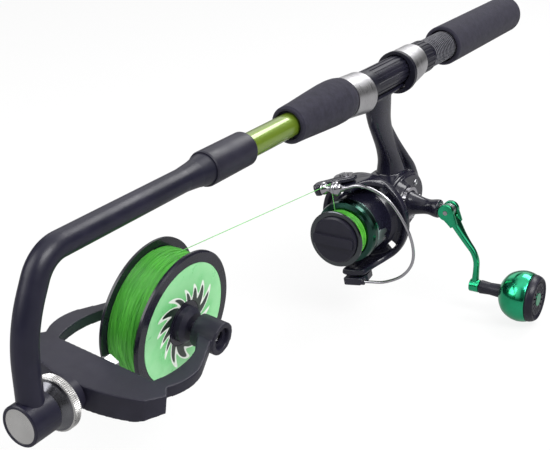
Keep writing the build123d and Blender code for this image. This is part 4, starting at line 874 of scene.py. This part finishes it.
def threaded_seat():
    """Reel seat: a real helical thread at the rear, its crests paler as a painted highlight, and a ribbed
    barrel in front.
    """
    seat_low, seat_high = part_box("reel_seat")
    rear, front = seat_low[0] / MM, seat_high[0] / MM
    thread_r, thread_depth, pitch, thread_length = 10.1, 0.9, 2.4, 67.3
    flank, valley_half, crest = 2.6, 0.45, 0.6
    thread_end = rear + thread_length
    around, per_turn = 72, 24
    xs = np.arange(rear, thread_end, pitch / per_turn)
    turns = np.arange(around) / around
    phase = (xs[:, None] / pitch - turns[None, :]) % 1.0
    shape = np.clip(flank * np.abs(phase - 0.5) - valley_half, 0, crest) / crest
    radii = thread_r - thread_depth * (1 - shape)
    rings = [turned_ring(x, row, 2 * math.pi * turns) for x, row in zip(xs, radii)]
    inward = (1, 0.7, 0.7)
    thread = loft([rings[0] * inward] + rings + [rings[-1] * inward])
    ribs, steps, barrel_r, groove, groove_share, bore_r = 18, 10, 9.45, 0.45, 0.45, 7.05
    count = ribs * steps
    angle = np.arange(count) / count
    dip = ((angle * ribs) % 1.0 > 1 - groove_share) * groove
    ribs_rear, ribs_front, rear_ramp, front_ramp = 134.2, 178.6, 0.7, 0.8
    sections = [turned_ring(x, barrel_r - dip * depth, 2 * math.pi * angle) for x, depth in (
        (thread_end - 1, 0), (ribs_rear - rear_ramp, 0), (ribs_rear, 1),
        (ribs_front, 1), (ribs_front + front_ramp, 0), (front, 0),
    )]
    sections.append(sections[-1] * (1, bore_r / barrel_r, bore_r / barrel_r))
    vertices, faces = joined([thread, loft(sections)])
    seat = piece("threaded_seat", vertices * MM, faces, "seat_plastic", "handle", ("reel_seat",), False)
    # Painted highlight: the thread's crests get a paler plastic in place of the light lines that the crests
    # catch.
    seat.data.materials.append(worn_plastic("crest_painted_highlight", (0.16, 0.16, 0.18), (0.30, 0.30, 0.33), 0.3))
    for polygon in seat.data.polygons:
        spot = polygon.center
        if spot.x < thread_end * MM and math.hypot(spot.y, spot.z) > (thread_r - 0.12) * MM:
            polygon.material_index = 1


crank_forms()
threaded_seat()


# ---------------------------------------------------------------- the running line
line_diameter, line_length = 0.4 * MM, 0.1893
line_points = [
    (384.617, 1.190, -34.842),  # leaves the supply spool
    (216.93, -6.002, -55.096),  # meets the roller
    (214.55, -6.104, -55.383),
    (214.55, -6.010, -55.900),  # leaves the roller
    (214.55, -2.865, -73.751),  # meets the reel's spool
]


def running_line():
    """Taut line, in millimetres of the frame, from the supply spool over the roller to the reel."""
    curve = bpy.data.curves.new("running_line", "CURVE")
    curve.dimensions = "3D"
    curve.bevel_depth = line_diameter / 2
    curve.bevel_resolution = 3
    curve.resolution_u = 16
    curve.use_fill_caps = True
    spline = curve.splines.new("NURBS")
    spline.points.add(len(line_points) - 1)
    for point, place in zip(spline.points, line_points):
        point.co = (*(c * MM for c in place), 1.0)
    spline.order_u = 3
    spline.use_endpoint_u = True
    made = bpy.data.objects.new("running_line", curve)
    bpy.context.scene.collection.objects.link(made)
    made.data.materials.append(materials["line_green"])
    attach(made, "handle")
    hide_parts("free_line")


running_line()


# ---------------------------------------------------------------- camera
camera_place = Vector((0.7813, 0.3085, 0.1860))
camera_azimuth = math.radians(32.15)
camera_elevation = math.radians(22.51)
camera_roll = math.radians(-1.36)
focal_pixels, image_width = 1109.2, 550


def photo_camera():
    """The photograph's camera, for an image of 550 by 450 pixels."""
    back = Vector((
        math.cos(camera_azimuth) * math.cos(camera_elevation),
        math.sin(camera_azimuth) * math.cos(camera_elevation),
        math.sin(camera_elevation),
    ))
    right = (-back).cross(Vector((0, 0, 1))).normalized()
    up = right.cross(-back).normalized()
    tilted_right = right * math.cos(camera_roll) + up * math.sin(camera_roll)
    tilted_up = up * math.cos(camera_roll) - right * math.sin(camera_roll)
    data = bpy.data.cameras.new("camera")
    data.sensor_width = 36.0
    data.lens = focal_pixels * data.sensor_width / image_width
    data.clip_end = 50.0
    made = bpy.data.objects.new("camera", data)
    bpy.context.scene.collection.objects.link(made)
    turn = Matrix((tilted_right, tilted_up, back)).transposed().to_4x4()
    made.matrix_world = Matrix.Translation(camera_place) @ turn
    bpy.context.scene.camera = made


photo_camera()


# ---------------------------------------------------------------- studio
def floor():
    """White ground that fades into the white world, dimmer in reflections."""
    size, ground_gap, white_share, reflected = 6.0, 0.002, 0.86, 0.32
    mesh = bpy.data.meshes.new("studio_floor")
    corners = [(-size, -size, 0), (size, -size, 0), (size, size, 0), (-size, size, 0)]
    mesh.from_pydata(corners, [], [(0, 1, 2, 3)])
    made = bpy.data.objects.new("studio_floor", mesh)
    made.location.z = cad_low.z - ground_gap
    bpy.context.scene.collection.objects.link(made)
    shader = Shader("studio_floor")
    shader.set(Base_Color=(0.86, 0.86, 0.86, 1.0), Roughness=0.9, Specular_IOR_Level=0.1)
    path = shader.node("LightPath")
    dimmed = shader.math("MULTIPLY", path.outputs["Is Glossy Ray"], reflected)
    seen = shader.math("MAXIMUM", path.outputs["Is Camera Ray"], path.outputs["Is Glossy Ray"])
    strength = shader.math("MAXIMUM", path.outputs["Is Camera Ray"], dimmed)
    white = shader.node("Emission", {"Color": (1, 1, 1, 1), "Strength": strength})
    share = shader.math("MULTIPLY", seen, white_share)
    mixed = shader.node("MixShader", {0: share, 1: shader.main.outputs[0], 2: white.outputs[0]})
    shader.feed(shader.tree.nodes["Material Output"].inputs["Surface"], mixed.outputs[0])
    mesh.materials.append(shader.material)


def lamp(name, place, size, power):
    """Area light aimed at the middle of the object."""
    target = (0.2, 0.0, -0.05)
    data = bpy.data.lights.new(name, "AREA")
    data.shape = "RECTANGLE"
    data.size, data.size_y = size
    data.energy = power
    made = bpy.data.objects.new(name, data)
    made.location = place
    aim = Vector(target) - Vector(place)
    made.rotation_euler = aim.to_track_quat("-Z", "Y").to_euler()
    bpy.context.scene.collection.objects.link(made)


def world():
    """White to the camera; softer light elsewhere, with broad bright panels overhead for gloss."""
    made = bpy.data.worlds.new("studio")
    made.use_nodes = True
    sky = Nodes(made.node_tree)
    background = sky.tree.nodes["Background"]
    panel_count, panel_turn, ambient, soft = 3.0, 3.04, 0.5, "SMOOTHSTEP"
    path = sky.node("LightPath")
    direction = sky.node("TexCoord").outputs["Generated"]
    split = sky.node("SeparateXYZ", {0: direction})
    around = sky.math("ARCTAN2", split.outputs["Y"], split.outputs["X"])
    wave = sky.math("SINE", sky.math("MULTIPLY_ADD", around, panel_count, panel_turn))
    panels = sky.span(wave, -0.5, 0.6, 0.12, 1.0, interpolation_type=soft)
    height = sky.span(split.outputs["Z"], 0.05, 0.45, 0.10, 1.0, interpolation_type=soft)
    overhead = sky.span(split.outputs["Z"], 0.75, 0.95, 0.0, 0.9, interpolation_type=soft)
    glossy = sky.math("MAXIMUM", sky.math("MULTIPLY", panels, height), overhead)
    seen_glossy = sky.math("MAXIMUM", path.outputs["Is Glossy Ray"], path.outputs["Is Transmission Ray"])
    other = sky.math("MULTIPLY_ADD", seen_glossy, sky.math("SUBTRACT", glossy, ambient), ambient)
    sky.feed(background.inputs["Color"], (1, 1, 1, 1))
    sky.feed(background.inputs["Strength"], sky.math("MAXIMUM", path.outputs["Is Camera Ray"], other))
    bpy.context.scene.world = made


floor()
world()
lamp("key_light", (0.55, 0.9, 1.1), (0.9, 0.6), 16)
lamp("fill_light", (1.1, -0.7, 0.7), (0.9, 0.9), 7)
lamp("back_light", (-0.6, 0.2, 0.9), (0.8, 0.5), 8)
bpy.context.scene.view_settings.view_transform = "Standard"
